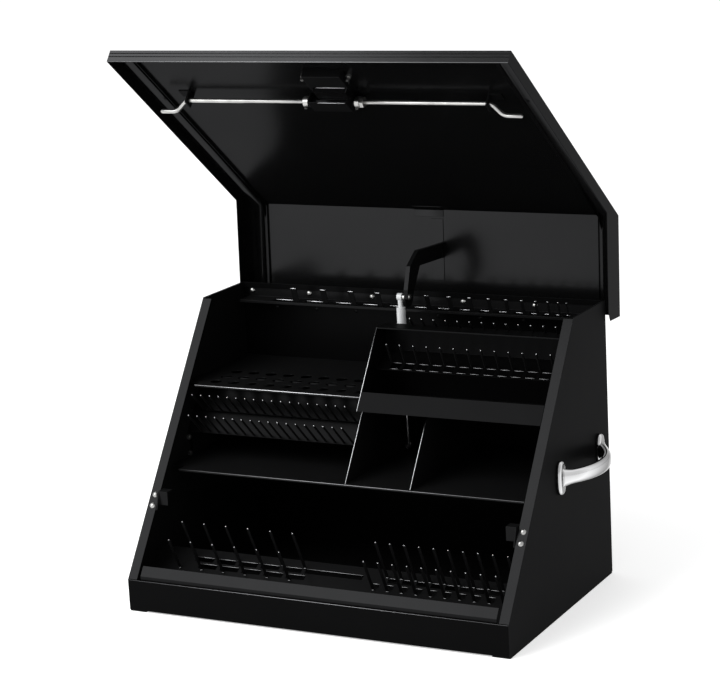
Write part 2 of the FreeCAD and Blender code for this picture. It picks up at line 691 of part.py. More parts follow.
def top_rack_fingers():
    foot = BACK_FACE - TOP_RACK_DEPTH + TOP_FINGER_AT
    outline = [(foot, TOP_RACK_Z), (foot + FINGER, TOP_RACK_Z),
               (foot + FINGER - TOP_FINGER_LEAN, TOP_RACK_Z + TOP_FINGER_HEIGHT),
               (foot - TOP_FINGER_LEAN, TOP_RACK_Z + TOP_FINGER_HEIGHT)]
    fingers = []
    for x, pitch in top_slots():
        middle = x + pitch / 2
        half = pitch * TOP_FINGER_SHARE / 2
        fingers.append(extrude(outline, (middle - half, middle + half)))
    return Part.makeCompound(fingers)


def bolt(seat, way, grip, head_r=BOLT_HEAD_R, nut_height=NUT, tail=BOLT_TAIL):
    """Domed bolt: its head stands on seat, its shank runs back through grip to a nut."""
    axis = Vector(*way)
    axis.normalize()
    pin = headed_pin(seat, axis, head_r, BOLT_HEAD, BOLT_R, grip + nut_height + tail)
    nut = hexagon(Vector(*seat) - axis * grip, -axis, NUT_R, nut_height)
    return fuse([pin, nut])


def top_rack_bolts():
    seat = BACK_FACE - SHEET
    return Part.makeCompound([bolt((x, seat, TOP_BOLT_Z), (0, -1, 0), 2 * SHEET, BOLT_HEAD_R, TOP_BOLT_NUT)
                              for x in TOP_BOLT_X])


def handle():
    """Cast bow handle of the right side: two oval feet and a bar that bows outward."""
    feet = []
    for y in HANDLE_Y:
        centre = Vector(HALF, y, HANDLE_Z)
        oval = Part.Ellipse(centre + Vector(0, 0, HANDLE_FOOT[1]), centre + Vector(0, HANDLE_FOOT[0], 0),
                            centre)
        face = Part.Face(Part.Wire(oval.toShape()))
        feet.append(face.extrude(Vector(HANDLE_FOOT_THICK, 0, 0)))
    middle = sum(HANDLE_Y) / 2
    ends = [Vector(HALF + HANDLE_FOOT_THICK / 2, y, HANDLE_Z) for y in HANDLE_Y]
    peak = Vector(HALF + HANDLE_REACH, middle, HANDLE_Z)
    arc = Part.Arc(ends[0], peak, ends[1])
    spine = Part.Wire(arc.toShape())
    way = Vector(*arc.tangent(arc.FirstParameter)[0])
    section = Part.Ellipse(ends[0] + Vector(0, 0, HANDLE_BAR[1]),
                           ends[0] + way.cross(Vector(0, 0, 1)) * HANDLE_BAR[0], ends[0])
    bar = spine.makePipeShell([Part.Wire(section.toShape())], True, False)
    wall = box((0, HALF), (0, CASE_DEPTH), (0, CASE_HEIGHT))
    holes = [rod((HALF - SHEET, y, z), (HALF + HANDLE_FOOT_THICK + SHEET, y, z), BOLT_R + BOLT_GAP)
             for y, z in handle_bolts()]
    return cut(fuse(feet + [Part.Solid(bar.Shells[0])]), [wall] + holes)


def handle_screws():
    seat = HALF + HANDLE_FOOT_THICK
    grip = HANDLE_FOOT_THICK + SHEET
    return Part.makeCompound([bolt((seat, y, z), (1, 0, 0), grip, HANDLE_SCREW_HEAD_R)
                              for y, z in handle_bolts()])


def keeper():
    """Right keeper: upright plate with its top bent back, held under the slope flange."""
    front = keeper_face()
    rear = front + KEEPER_SHEET
    low, high = KEEPER_Z
    plate = box(KEEPER_X, (front, rear), (low, high))
    top = box(KEEPER_X, (front, front + KEEPER_TOP), (high - KEEPER_SHEET, high))
    foot_n = (-SHEET - KEEPER_SHEET, -SHEET)
    foot = on_slope(box((KEEPER_X[1] - KEEPER_SHEET, INNER), KEEPER_FOOT, foot_n))
    web = extrude([slope(KEEPER_FOOT[0], foot_n[1]), (front, high), (front + KEEPER_TOP, high),
                   slope(KEEPER_FOOT[0], foot_n[0])], (KEEPER_X[1] - KEEPER_SHEET, KEEPER_X[1]))
    return cut(fuse([plate, top, foot, web]), [keeper_hole(s) for s in KEEPER_SCREWS])


def keeper_face():
    """Front of the keeper's plate: just ahead of the latched rod end."""
    y = lid_point(0, *ROD_END)[1]
    return y - ROD_R - FIT_GAP - KEEPER_SHEET


def keeper_screws():
    way = slope(0, 1)
    axis = (0, way[0], way[1] - LIP_HEIGHT)
    screws = []
    for s in KEEPER_SCREWS:
        seat = slope(s, 0)
        screws.append(bolt((KEEPER_SCREW_X, *seat), axis, SHEET + KEEPER_SHEET))
    return Part.makeCompound(screws)


def rivet_xs():
    pitch = HINGE_LENGTH / RIVETS_PER_LEAF
    return step(-HINGE_LENGTH / 2 + pitch / 2, pitch, RIVETS_PER_LEAF)


def case_rivet_z():
    return HINGE[1] - LEAF_HEIGHT * 0.6


def lid_rivet_z():
    return HINGE[1] + LEAF_HEIGHT * 0.6


def rivet(centre, way, grip):
    """Domed rivet through grip behind its head."""
    axis = Vector(*way)
    point = Vector(*centre)
    return fuse([headed_pin(point, axis, RIVET_HEAD_R, RIVET_HEAD, RIVET_R, grip / 2),
                 headed_pin(point - axis * grip, -axis, RIVET_HEAD_R, RIVET_HEAD, RIVET_R, grip / 2)])


def knuckles(first):
    """Every second knuckle of the hinge, as rings round its pin."""
    length = HINGE_LENGTH / (2 * HINGE_PAIRS)
    rings = []
    for x in step(-HINGE_LENGTH / 2 + first * length, 2 * length, HINGE_PAIRS):
        rings.append((x + FIT_GAP / 2, x + length - FIT_GAP / 2))
    return rings


def leaf(first, side):
    """Hinge leaf below (side -1) or above (side 1) the pin, in the closed lid's place."""
    y, z = HINGE
    face = y + side * (KNUCKLE_R + FIT_GAP)
    half = HINGE_LENGTH / 2
    plate = box((-half, half), sorted((face, face + side * LEAF)), sorted((z, z + side * LEAF_HEIGHT)))
    pieces = [plate]
    for x in knuckles(first):
        ring = rod((x[0], y, z), (x[1], y, z), KNUCKLE_R)
        web = box(x, sorted((y, face + side * LEAF / 2)),
                  sorted((z + side * KNUCKLE_R * 0.6, z + side * KNUCKLE_R)))
        pieces += [ring, web]
    bore = rod((-half - LEAF, y, z), (half + LEAF, y, z), HINGE_PIN_R + RUNNING_GAP)
    rivet_z = z + side * LEAF_HEIGHT * 0.6
    holes = [rod((x, face - 2 * LEAF, rivet_z), (x, face + 2 * LEAF, rivet_z), RIVET_R + BOLT_GAP)
             for x in rivet_xs()]
    return cut(fuse(pieces), [bore] + holes)


def hinge_pin():
    half = HINGE_LENGTH / 2
    pin = rod((-half - LEAF, *HINGE), (half + LEAF, *HINGE), HINGE_PIN_R)
    heads = [rod((side * (half + FIT_GAP / 2), *HINGE), (side * (half + LEAF), *HINGE), KNUCKLE_R - LEAF)
             for side in (-1, 1)]
    return fuse([pin] + heads)


def lid_shell():
    """Lid skin with its front, side and rear flanges, in the closed place."""
    front = [slope(-LID_OVERHANG, LID_OFFSET - LID_FLANGE), slope(-LID_OVERHANG, LID_OFFSET)]
    bend = lid_bend(0)
    path = front + [bend, (LID_BACK, LID_TOP), (LID_BACK, LID_TOP - LID_REAR_FLANGE)]
    inner = LID_HALF - SHEET
    skin = bent_sheet(path[::-1], SHEET, (-inner, inner))
    tail = HINGE[0] + LID_TAIL
    rim = LID_TOP - LID_TOP_FLANGE
    side = front + [bend, (tail, LID_TOP), (tail, rim + LID_TAIL_CUT[1]),
                    (tail - LID_TAIL_CUT[0], rim), on_depth(LID_OFFSET - LID_FLANGE, rim)]
    sides = [extrude(side, (inner, LID_HALF)), extrude(side, (-LID_HALF, -inner))]
    dish_hole = lid_box((DISH_X[0] - FIT_GAP, DISH_X[1] + FIT_GAP),
                        (DISH_S[0] - FIT_GAP, DISH_S[1] + FIT_GAP), (-LEAF, 2 * LEAF))
    holes = [dish_hole, lid_drill(LOCK_X, LOCK_S, LOCK_R + BOLT_GAP, (-LEAF, 2 * LEAF))]
    holes += [lid_drill(x, DISH_SCREW_S, BOLT_R + BOLT_GAP, (-LEAF, 2 * LEAF)) for x in dish_screw_xs()]
    holes += [rod((x, LID_BACK - 2 * LEAF, lid_rivet_z()), (x, LID_BACK + LEAF, lid_rivet_z()),
                  RIVET_R + BOLT_GAP) for x in rivet_xs()]
    return cut(fuse([skin] + sides), holes)


def lid_drill(x, s, radius, e):
    """Round bar through the slope panel between two depths."""
    return rod(lid_point(x, s, e[0]), lid_point(x, s, e[1]), radius)


def dish_screw_xs():
    return (DISH_X[0] - DISH_RIM / 2 + 1, DISH_X[1] + DISH_RIM / 2 - 1)


def lid_stiffener():
    """Right edge stiffener: a strip on the inside of both panels with a turned-in lip."""
    outer = LID_HALF - SHEET
    inner = outer - STIFFENER_WIDTH
    corner = [(y, z) for x, y, z in (lid_point(0, LID_OVERHANG + SHEET, SHEET),)]
    path = corner + [lid_bend(SHEET), (LID_BACK - SHEET - FIT_GAP, LID_TOP - SHEET)]
    strip = bent_sheet(path[::-1], SHEET, (inner, outer))
    lip = bent_sheet(path[::-1], STIFFENER_LIP, (inner, inner + SHEET))
    return fuse([strip, lip])


def bend_gusset():
    """Right gusset: a small triangle across the bend on the stiffener."""
    depth = 2 * SHEET
    top = lid_bend(depth)
    a = math.radians(SLOPE_ANGLE)
    low = (top[0] - GUSSET * math.cos(a), top[1] - GUSSET * math.sin(a))
    x = LID_HALF - SHEET - STIFFENER_WIDTH + STIFFENER_LIP
    return extrude([top, (top[0] + GUSSET, top[1]), low], (x, x + STRIP_THICK))


def centre_strip():
    return top_box(CENTRE_STRIP_X, CENTRE_STRIP_U, (SHEET, SHEET + STRIP_THICK))


def bend_bracket():
    top = lid_bend(SHEET)
    a = math.radians(SLOPE_ANGLE)
    low = (top[0] - BEND_BRACKET_LEG * math.cos(a), top[1] - BEND_BRACKET_LEG * math.sin(a))
    return bent_sheet([(top[0] + BEND_BRACKET_LEG, top[1]), top, low], STRIP_THICK, BEND_BRACKET_X)


def latch_dish():
    """Recessed dish of the outer handle with a rim on the lid's skin."""
    shell = lid_box(DISH_X, DISH_S, (-DISH_RIM_THICK, DISH_E))
    rim = lid_box((DISH_X[0] - DISH_RIM, DISH_X[1] + DISH_RIM),
                  (DISH_S[0] - DISH_RIM / 2, DISH_S[1] + SHEET), (-DISH_RIM_THICK, 0))
    hollow = lid_box((DISH_X[0] + SHEET, DISH_X[1] - SHEET), (DISH_S[0] + SHEET, DISH_S[1] - SHEET),
                     (-2 * DISH_RIM_THICK, DISH_E - SHEET))
    holes = [lid_drill(x, DISH_SCREW_S, BOLT_R + BOLT_GAP, (-LEAF, LEAF)) for x in dish_screw_xs()]
    pin = paddle_rod((DISH_X[0] - SHEET, DISH_X[1] + SHEET), PADDLE_PIN_R + RUNNING_GAP)
    return cut(fuse([shell, rim]), [hollow, pin] + holes)


def paddle_rod(x, radius):
    return rod(lid_point(x[0], *PADDLE_AXIS), lid_point(x[1], *PADDLE_AXIS), radius)


def dish_screws():
    screws = []
    for x in dish_screw_xs():
        out = Vector(*lid_point(x, DISH_SCREW_S, -1)) - Vector(*lid_point(x, DISH_SCREW_S, 0))
        seat = lid_point(x, DISH_SCREW_S, -DISH_RIM_THICK)
        screws.append(bolt(seat, out, DISH_RIM_THICK + SHEET, tail=DISH_SCREW_TAIL))
    return Part.makeCompound(screws)


def paddle():
    """Pull paddle: a plate flush with the dish's rim, on a barrel round its pin."""
    x = (DISH_X[0] + PADDLE_GAP, DISH_X[1] - PADDLE_GAP)
    s, e = PADDLE_AXIS
    plate = lid_box(x, (DISH_S[0] + 2 * PADDLE_GAP, s), (0, PADDLE_THICK))
    lip = lid_box(x, (DISH_S[0] + 2 * PADDLE_GAP, DISH_S[0] + 2 * PADDLE_GAP + PADDLE_THICK), (0, e))
    barrel = paddle_rod(x, PADDLE_BARREL_R)
    web = lid_box(x, (s - PADDLE_BARREL_R, s), (0, e))
    bore = paddle_rod((x[0] - SHEET, x[1] + SHEET), PADDLE_PIN_R + RUNNING_GAP)
    return cut(fuse([plate, lip, barrel, web]), [bore])


def paddle_pin():
    return paddle_rod(DISH_X, PADDLE_PIN_R)


def lock_body():
    """Lock housing: a tube through the lid with a collar outside."""
    tube = lid_drill(LOCK_X, LOCK_S, LOCK_R, (0, LOCK_DEPTH))
    collar = lid_drill(LOCK_X, LOCK_S, LOCK_COLLAR_R, (-DISH_RIM_THICK, 0))
    bore = lid_drill(LOCK_X, LOCK_S, LOCK_PLUG_R + RUNNING_GAP, (-2 * DISH_RIM_THICK, LOCK_DEPTH + SHEET))
    return cut(fuse([tube, collar]), [bore, lid_box(DISH_X, DISH_S, (-2 * DISH_RIM_THICK, DISH_E)),
                                      rim_cut()])


def rim_cut():
    return lid_box((DISH_X[0] - DISH_RIM, DISH_X[1] + DISH_RIM),
                   (DISH_S[0], DISH_S[1] + SHEET + FIT_GAP), (-2 * DISH_RIM_THICK, 0))


def lock_plug():
    """Key plug with its keyway and the cam on its inner end."""
    plug = lid_drill(LOCK_X, LOCK_S, LOCK_PLUG_R, (-DISH_RIM_THICK, LOCK_DEPTH + FIT_GAP + LOCK_CAM[1]))
    depth = (LOCK_DEPTH + FIT_GAP, LOCK_DEPTH + FIT_GAP + LOCK_CAM[1])
    arm = lid_box((LOCK_X - LOCK_PLUG_R, LOCK_X + LOCK_PLUG_R), (LOCK_S, LOCK_S + LOCK_CAM[0]), depth)
    slot = lid_box((LOCK_X - KEYWAY[0] / 2, LOCK_X + KEYWAY[0] / 2),
                   (LOCK_S - KEYWAY[1] / 2, LOCK_S + KEYWAY[1] / 2), (-2 * DISH_RIM_THICK, KEYWAY[2]))
    return cut(fuse([plug, arm]), [slot])


def latch_bracket():
    """Bracket that carries the hub: a web over it and an ear at each end."""
    web = lid_box(BRACKET_X, BRACKET_S, (BRACKET_E - BRACKET_SHEET, BRACKET_E))
    ears = [lid_box((x, x + BRACKET_SHEET), BRACKET_S, (SHEET, BRACKET_E))
            for x in (BRACKET_X[0], BRACKET_X[1] - BRACKET_SHEET)]
    bore = axis_rod(HUB_X, HUB_R + RUNNING_GAP)
    return cut(fuse([web] + ears), [bore])


def axis_rod(x, radius):
    """Round bar on the latch rods' axis."""
    return rod(lid_point(x[0], *ROD_AXIS), lid_point(x[1], *ROD_AXIS), radius)


def latch_hub():
    tube = axis_rod(HUB_X, HUB_R)
    s, e = ROD_AXIS
    middle = sum(BRACKET_X) / 2
    lever = lid_box((middle - HUB_LEVER[0] / 2, middle + HUB_LEVER[0] / 2), (s, s + BRACKET_SHEET),
                    (e - HUB_LEVER[1], e))
    bore = axis_rod((HUB_X[0] - SHEET, HUB_X[1] + SHEET), ROD_R + RUNNING_GAP)
    return cut(fuse([tube, lever]), [bore])


def collar(x):
    """Collar with the set screw that grips the rod."""
    ring = axis_rod(x, COLLAR_R)
    bore = axis_rod((x[0] - SHEET, x[1] + SHEET), ROD_R + RUNNING_GAP)
    middle = (x[0] + x[1]) / 2
    s, e = ROD_AXIS
    screw = rod(lid_point(middle, s, e + COLLAR_R / 2), lid_point(middle, s, e + SET_SCREW), SET_SCREW_R)
    return cut(fuse([ring, screw]), [bore])


def rod_nut():
    start = lid_point(ROD_NUT_X[0], *ROD_AXIS)
    nut = hexagon(start, (1, 0, 0), COLLAR_R, ROD_NUT_X[1] - ROD_NUT_X[0])
    bore = axis_rod((ROD_NUT_X[0] - SHEET, ROD_NUT_X[1] + SHEET), ROD_R + RUNNING_GAP)
    return cut(nut, [bore])


def latch_rod():
    """Right rod: straight from the hub, then cranked to the end that hooks the keeper."""
    points = [lid_point(SHEET, *ROD_AXIS), lid_point(CRANK_X[0], *ROD_AXIS),
              lid_point(CRANK_X[1], *ROD_END), lid_point(ROD_END_X, *ROD_END)]
    pieces = [rod(a, b, ROD_R) for a, b in zip(points, points[1:])]
    pieces += [Part.makeSphere(ROD_R, Vector(*p)) for p in points[1:3]]
    return fuse(pieces)


def rod_guide():
    """Right guide: an ear with the rod's hole on a foot welded to the lid."""
    s, e = ROD_AXIS
    span = (s - GUIDE_HALF, s + GUIDE_HALF)
    ear = lid_box((GUIDE_X - GUIDE_THICK, GUIDE_X), span, (SHEET, GUIDE_TOP))
    foot = lid_box((GUIDE_X - GUIDE_THICK, GUIDE_X + GUIDE_FOOT), span, (SHEET, SHEET + GUIDE_FOOT_THICK))
    bore = axis_rod((GUIDE_X - 2 * GUIDE_THICK, GUIDE_X + GUIDE_THICK), ROD_R + RUNNING_GAP)
    return cut(fuse([ear, foot]), [bore])


def top_open(u, e):
    """Point (y, z) of the open lid's top panel, u from the bend and e below the skin."""
    bend = lid_bend(0)
    y = bend[0] + u - HINGE[0]
    z = LID_TOP - e - HINGE[1]
    a = math.radians(LID_OPEN_ANGLE)
    return (HINGE[0] + y * math.cos(a) + z * math.sin(a), HINGE[1] - y * math.sin(a) + z * math.cos(a))


def stay_arm():
    """Arm from the open lid down to the gas strut's upper eye."""
    seat = SHEET + STRIP_THICK
    top = top_open(ARM_FOOT_U[0], seat)
    low = top_open(ARM_FOOT_U[1], seat)
    plate = extrude([top] + list(ARM_OUTER) + list(ARM_INNER) + [low], (ARM_X, ARM_X + ARM_THICK))
    pad = rod((ARM_X, *ARM_EYE), (ARM_X + ARM_THICK, *ARM_EYE), ARM_EYE_R)
    flange = bent_sheet([top] + list(ARM_OUTER), ARM_THICK, (ARM_X, ARM_X + ARM_FLANGE))
    foot = open_lid(top_box((ARM_X, CENTRE_STRIP_X[1]), ARM_FOOT_U, (seat, seat + ARM_THICK)))
    hole = rod((ARM_X - 1, *ARM_EYE), (ARM_X + ARM_THICK + 1, *ARM_EYE), STRUT_ROD_R + BOLT_GAP)
    return cut(fuse([plate, pad, flange, foot]), [hole])


def stay_bolt():
    """Bolt through the arm; its collar stops just short of the strut's eye."""
    pin = headed_pin((ARM_X + ARM_THICK, *ARM_EYE), (1, 0, 0), STRUT_EYE_R, STRUT_ROD_R, STRUT_ROD_R,
                     2 * ARM_THICK)
    boss = rod((STRUT_X[1] + FIT_GAP, *ARM_EYE), (ARM_X, *ARM_EYE), STRUT_NECK_R)
    return fuse([pin, boss])


def strut_length():
    return math.hypot(ARM_EYE[0] - STRUT_FOOT[0], ARM_EYE[1] - STRUT_FOOT[1])


def strut_rod_point(distance):
    """Point on the strut's axis, a distance above its lower eye."""
    share = distance / strut_length()
    x = (STRUT_X[0] + STRUT_X[1]) / 2
    return (x, STRUT_FOOT[0] + (ARM_EYE[0] - STRUT_FOOT[0]) * share,
            STRUT_FOOT[1] + (ARM_EYE[1] - STRUT_FOOT[1]) * share)


def strut_cylinder():
    top = strut_length()
    upper = top - STRUT_NECK
    lower = upper - CYLINDER_LENGTH
    eye = rod((STRUT_X[0], *ARM_EYE), (STRUT_X[1], *ARM_EYE), STRUT_EYE_R)
    neck = rod(strut_rod_point(upper - CYLINDER_END / 2), strut_rod_point(top), STRUT_NECK_R)
    tube = rod(strut_rod_point(lower), strut_rod_point(upper), CYLINDER_R)
    hollow = rod(strut_rod_point(lower + GLAND), strut_rod_point(upper - CYLINDER_END),
                 CYLINDER_R - CYLINDER_WALL)
    bore = rod(strut_rod_point(lower - GLAND), strut_rod_point(lower + 2 * GLAND), STRUT_ROD_R + BOLT_GAP)
    return cut(fuse([eye, neck, tube]), [hollow, bore])


def strut_rod():
    lower = strut_length() - STRUT_NECK - CYLINDER_LENGTH
    eye = rod((STRUT_X[0], *STRUT_FOOT), (STRUT_X[1], *STRUT_FOOT), STRUT_EYE_R)
    bar = rod(strut_rod_point(0), strut_rod_point(lower + GLAND + PISTON), STRUT_ROD_R)
    piston = rod(strut_rod_point(lower + GLAND + FIT_GAP), strut_rod_point(lower + GLAND + PISTON),
                 CYLINDER_R - CYLINDER_WALL - BOLT_GAP)
    bore = rod((0, *STRUT_FOOT), (ARM_X, *STRUT_FOOT), STUD_R + RUNNING_GAP)
    return cut(fuse([eye, bar, piston]), [bore])


def strut_stud():
    """Stud plate on the centre divider that carries the strut's lower eye."""
    y, z = STRUT_FOOT
    face = SHEET / 2
    plate = box((face, face + LEAF), (y - STUD_PLATE, y + STUD_PLATE), (SHELF_Z, z + STUD_PLATE))
    stud = rod((face - SHEET, y, z), (STRUT_X[1] + FIT_GAP, y, z), STUD_R)
    cap = rod((STRUT_X[1] + FIT_GAP, y, z), (STRUT_X[1] + FIT_GAP + LEAF, y, z), STRUT_NECK_R)
    return fuse([plate, stud, cap])


def both(shape):
    return mirror(shape), shape


def pair(shape):
    """The shape and its mirror image as one group."""
    return Part.makeCompound([mirror(shape), shape])


nodes = {}
nodes["left_side_panel"], nodes["right_side_panel"] = both(side_panel())
nodes["back_panel"] = back_panel()
nodes["front_lip_panel"] = front_lip()
nodes["bottom_panel"] = bottom_panel()
nodes["left_base_runner"], nodes["right_base_runner"] = both(runner())
nodes["front_strip"] = front_strip()
nodes["lip_seal"] = lip_seal()
nodes["plier_rack"] = plier_rack()
nodes["plier_rack_front_fingers"] = rack_fingers(LEFT_FRONT_X, RIGHT_FRONT_X, 0, FRONT_FINGER)
nodes["plier_rack_back_fingers"] = rack_fingers(LEFT_BACK_X, RIGHT_BACK_X, BACK_FINGER_AT, BACK_FINGER)
nodes["middle_shelf"] = middle_shelf()
nodes["centre_divider"] = centre_divider()
nodes["bin_divider"] = bin_divider()
nodes["socket_shelf"] = socket_shelf()
nodes["prong_rack"] = prong_rack()
nodes["prong_rack_prongs"] = prong_rack_prongs()
nodes["tray"] = tray()
nodes["tray_prongs"] = tray_prongs()
nodes["tray_upper_prongs"] = tray_upper_prongs()
nodes["top_rack"] = top_rack()
nodes["top_rack_fingers"] = top_rack_fingers()
nodes["top_rack_bolts"] = top_rack_bolts()
nodes["left_handle"], nodes["right_handle"] = both(handle())
nodes["handle_screws"] = pair(handle_screws())
nodes["left_keeper"], nodes["right_keeper"] = both(keeper())
nodes["keeper_screws"] = pair(keeper_screws())
nodes["hinge_case_leaf"] = leaf(0, -1)
nodes["hinge_pin"] = hinge_pin()
nodes["hinge_case_rivets"] = Part.makeCompound(
    [rivet((x, CASE_DEPTH + LEAF, case_rivet_z()), (0, 1, 0), SHEET + LEAF) for x in rivet_xs()])
nodes["strut_stud"] = strut_stud()
nodes["strut_rod"] = strut_rod()
nodes["strut_cylinder"] = strut_cylinder()
nodes["stay_arm"] = stay_arm()
nodes["stay_bolt"] = stay_bolt()

on_closed_lid = {
    "hinge_lid_leaf": leaf(1, 1),
    "hinge_lid_rivets": Part.makeCompound(
        [rivet((x, LID_BACK + LEAF, lid_rivet_z()), (0, 1, 0), SHEET + LEAF) for x in rivet_xs()]),
    "lid_shell": lid_shell(),
    "lid_stiffener_left": mirror(lid_stiffener()),
    "lid_stiffener_right": lid_stiffener(),
    "lid_gussets": pair(bend_gusset()),
    "lid_centre_strip": centre_strip(),
    "lid_bend_bracket": bend_bracket(),
    "latch_dish": latch_dish(),
    "latch_dish_screws": dish_screws(),
    "latch_paddle": paddle(),
    "paddle_pin": paddle_pin(),
    "lock_body": lock_body(),
    "lock_plug": lock_plug(),
    "latch_bracket": latch_bracket(),
    "latch_hub": latch_hub(),
    "latch_collars": Part.makeCompound([collar(LEFT_COLLAR_X), collar(RIGHT_COLLAR_X), rod_nut()]),
    "latch_rod_left": mirror(latch_rod()),
    "latch_rod_right": latch_rod(),
    "rod_guide_left": mirror(rod_guide()),
    "rod_guide_right": rod_guide(),
}
for name, shape in on_closed_lid.items():
    nodes[name] = open_lid(shape)

# The origin is the bottom centre of the whole chest, lid open
whole = Part.makeCompound(list(nodes.values())).optimalBoundingBox(False, False)
origin = Vector((whole.XMin + whole.XMax) / 2, (whole.YMin + whole.YMax) / 2, whole.ZMin)
print("origin in the building frame", [round(v, 4) for v in origin])

os.makedirs("parts", exist_ok=True)
for name, shape in nodes.items():
    placed = shape.copy()
    placed.translate(-origin)
    placed.exportStep("parts/" + name + ".step")
print(len(nodes), "nodes")
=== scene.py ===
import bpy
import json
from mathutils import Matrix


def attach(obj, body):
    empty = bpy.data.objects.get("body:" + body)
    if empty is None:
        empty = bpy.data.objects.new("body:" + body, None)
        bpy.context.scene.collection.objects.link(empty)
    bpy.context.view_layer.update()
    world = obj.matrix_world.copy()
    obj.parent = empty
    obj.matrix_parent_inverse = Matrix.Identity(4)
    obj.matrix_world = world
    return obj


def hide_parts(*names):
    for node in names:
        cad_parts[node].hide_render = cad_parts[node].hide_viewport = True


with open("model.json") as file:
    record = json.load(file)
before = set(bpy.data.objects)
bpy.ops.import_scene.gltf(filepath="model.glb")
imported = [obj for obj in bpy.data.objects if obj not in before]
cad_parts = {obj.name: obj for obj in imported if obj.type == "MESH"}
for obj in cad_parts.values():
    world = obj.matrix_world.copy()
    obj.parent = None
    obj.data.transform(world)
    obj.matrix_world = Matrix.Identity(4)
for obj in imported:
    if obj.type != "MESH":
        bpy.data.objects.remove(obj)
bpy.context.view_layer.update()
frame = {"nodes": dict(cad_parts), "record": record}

import json
import math

import bmesh
import bpy
from mathutils import Matrix, Vector

# The row frame's origin in the building frame of the model, in metres
ORIGIN_Y = 0.2725289

# Camera: place in the building frame, its three turns, and its focal length in pixels
CAMERA_AT = (1.91107, -3.40418, 1.41413)
CAMERA_TURNS = (0.2325, 0.4750, 0.0033)
FOCAL_PX = 2328.4
IMAGE_WIDTH = 720
SENSOR_WIDTH = 36.0

# Pieces whose sheet edges are rounded, with the radius of the rounding
SHEET_EDGE = 0.0005
SHEET_NODES = [
    "left_side_panel", "right_side_panel", "back_panel", "front_lip_panel", "bottom_panel",
    "front_strip", "plier_rack", "middle_shelf", "centre_divider", "bin_divider", "socket_shelf",
    "prong_rack", "tray", "top_rack", "left_keeper", "right_keeper", "lid_shell",
    "lid_stiffener_left", "lid_stiffener_right", "lid_centre_strip", "lid_bend_bracket",
    "latch_bracket", "left_base_runner", "right_base_runner", "latch_dish",
    "plier_rack_front_fingers", "plier_rack_back_fingers", "top_rack_fingers",
]
# Vertices nearer than this are one, and faces within this angle are one flat face
WELD_DISTANCE = 0.00001
FLAT_ANGLE = math.radians(0.2)
# Edges sharper than this are rounded
SHARP_ANGLE = math.radians(35)

# Nodes whose coat isn't the plain one: on the lid a glossier coat whose lighter level is painted
# sheen, and on the front lip, tray, back panel and prong rack a darker copy that is painted shade
LID_SHEEN_NODES = ["lid_shell", "lid_centre_strip", "lid_bend_bracket", "lid_gussets",
                  "lid_stiffener_left", "lid_stiffener_right"]
LIP_SHADE_NODES = ["front_lip_panel", "tray", "back_panel", "prong_rack"]

# How far the black coat's gloss rises towards grazing angles
COAT_EDGE = 0.5
# The range of noise that tints and spreads use
NOISE_LOW = 0.3
NOISE_HIGH = 0.7


class Shader:
    """A small builder for node materials."""

    def __init__(self, name):
        self.material = bpy.data.materials.new(name)
        self.material.use_nodes = True
        self.tree = self.material.node_tree
        self.tree.nodes.clear()
        self.output = self.add("ShaderNodeOutputMaterial")
        self.place = self.add("ShaderNodeTexCoord").outputs["Object"]

    def add(self, kind):
        return self.tree.nodes.new(kind)

    def link(self, a, b):
        self.tree.links.new(a, b)

    def noise(self, scale, detail=2.0, stretch=(1, 1, 1)):
        """Noise fixed to the object, finer as the scale rises."""
        mapping = self.add("ShaderNodeMapping")
        mapping.inputs["Scale"].default_value = stretch
        self.link(self.place, mapping.inputs["Vector"])
        node = self.add("ShaderNodeTexNoise")
        node.inputs["Scale"].default_value = scale
        node.inputs["Detail"].default_value = detail
        self.link(mapping.outputs["Vector"], node.inputs["Vector"])
        return node.outputs["Fac"]

    def spread(self, source, low, high):
        """From one value to another where the source goes from low to high."""
        node = self.add("ShaderNodeMapRange")
        node.inputs["From Min"].default_value = NOISE_LOW
        node.inputs["From Max"].default_value = NOISE_HIGH
        node.inputs["To Min"].default_value = low
        node.inputs["To Max"].default_value = high
        self.link(source, node.inputs["Value"])
        return node.outputs["Result"]

    def tint(self, source, dark, light):
        """From dark to light where the source goes from low to high."""
        node = self.add("ShaderNodeValToRGB")
        for element, at, colour in zip(node.color_ramp.elements, (NOISE_LOW, NOISE_HIGH),
                                       (dark, light)):
            element.position = at
            element.color = (*colour, 1)
        self.link(source, node.inputs["Fac"])
        return node.outputs["Color"]

    def fade(self, source, stops):
        """Grey levels along a value, as (place, level) pairs."""
        node = self.add("ShaderNodeValToRGB")
        elements = node.color_ramp.elements
        while len(elements) < len(stops):
            elements.new(1.0)
        for element, (at, level) in zip(elements, stops):
            element.position = at
            element.color = (level, level, level * 1.01, 1)
        self.link(source, node.inputs["Fac"])
        return node.outputs["Color"]

    def bump(self, source, strength, height, before=None):
        """Normals of a fine relief, on top of the normals before it."""
        node = self.add("ShaderNodeBump")
        node.inputs["Strength"].default_value = strength
        node.inputs["Distance"].default_value = height
        self.link(source, node.inputs["Height"])
        if before is not None:
            self.link(before, node.inputs["Normal"])
        return node.outputs["Normal"]

    def surface(self, colour, roughness, normal, metallic=0.0, specular=0.5, edge=1.0):
        """The finished material, where edge is the level of gloss at grazing angles."""
        shader = self.add("ShaderNodeBsdfPrincipled")
        shader.inputs["Metallic"].default_value = metallic
        shader.inputs["Specular IOR Level"].default_value = specular
        shader.inputs["Specular Tint"].default_value = (edge, edge, edge, 1)
        self.link(colour, shader.inputs["Base Color"])
        self.link(roughness, shader.inputs["Roughness"])
        self.link(normal, shader.inputs["Normal"])
        self.link(shader.outputs["BSDF"], self.output.inputs["Surface"])
        return self.material


# Red, green and blue shares of a coat's level at both ends of its drift
COAT_DARK = (0.96, 0.97, 1.00)
COAT_LIGHT = (1.03, 1.04, 1.07)
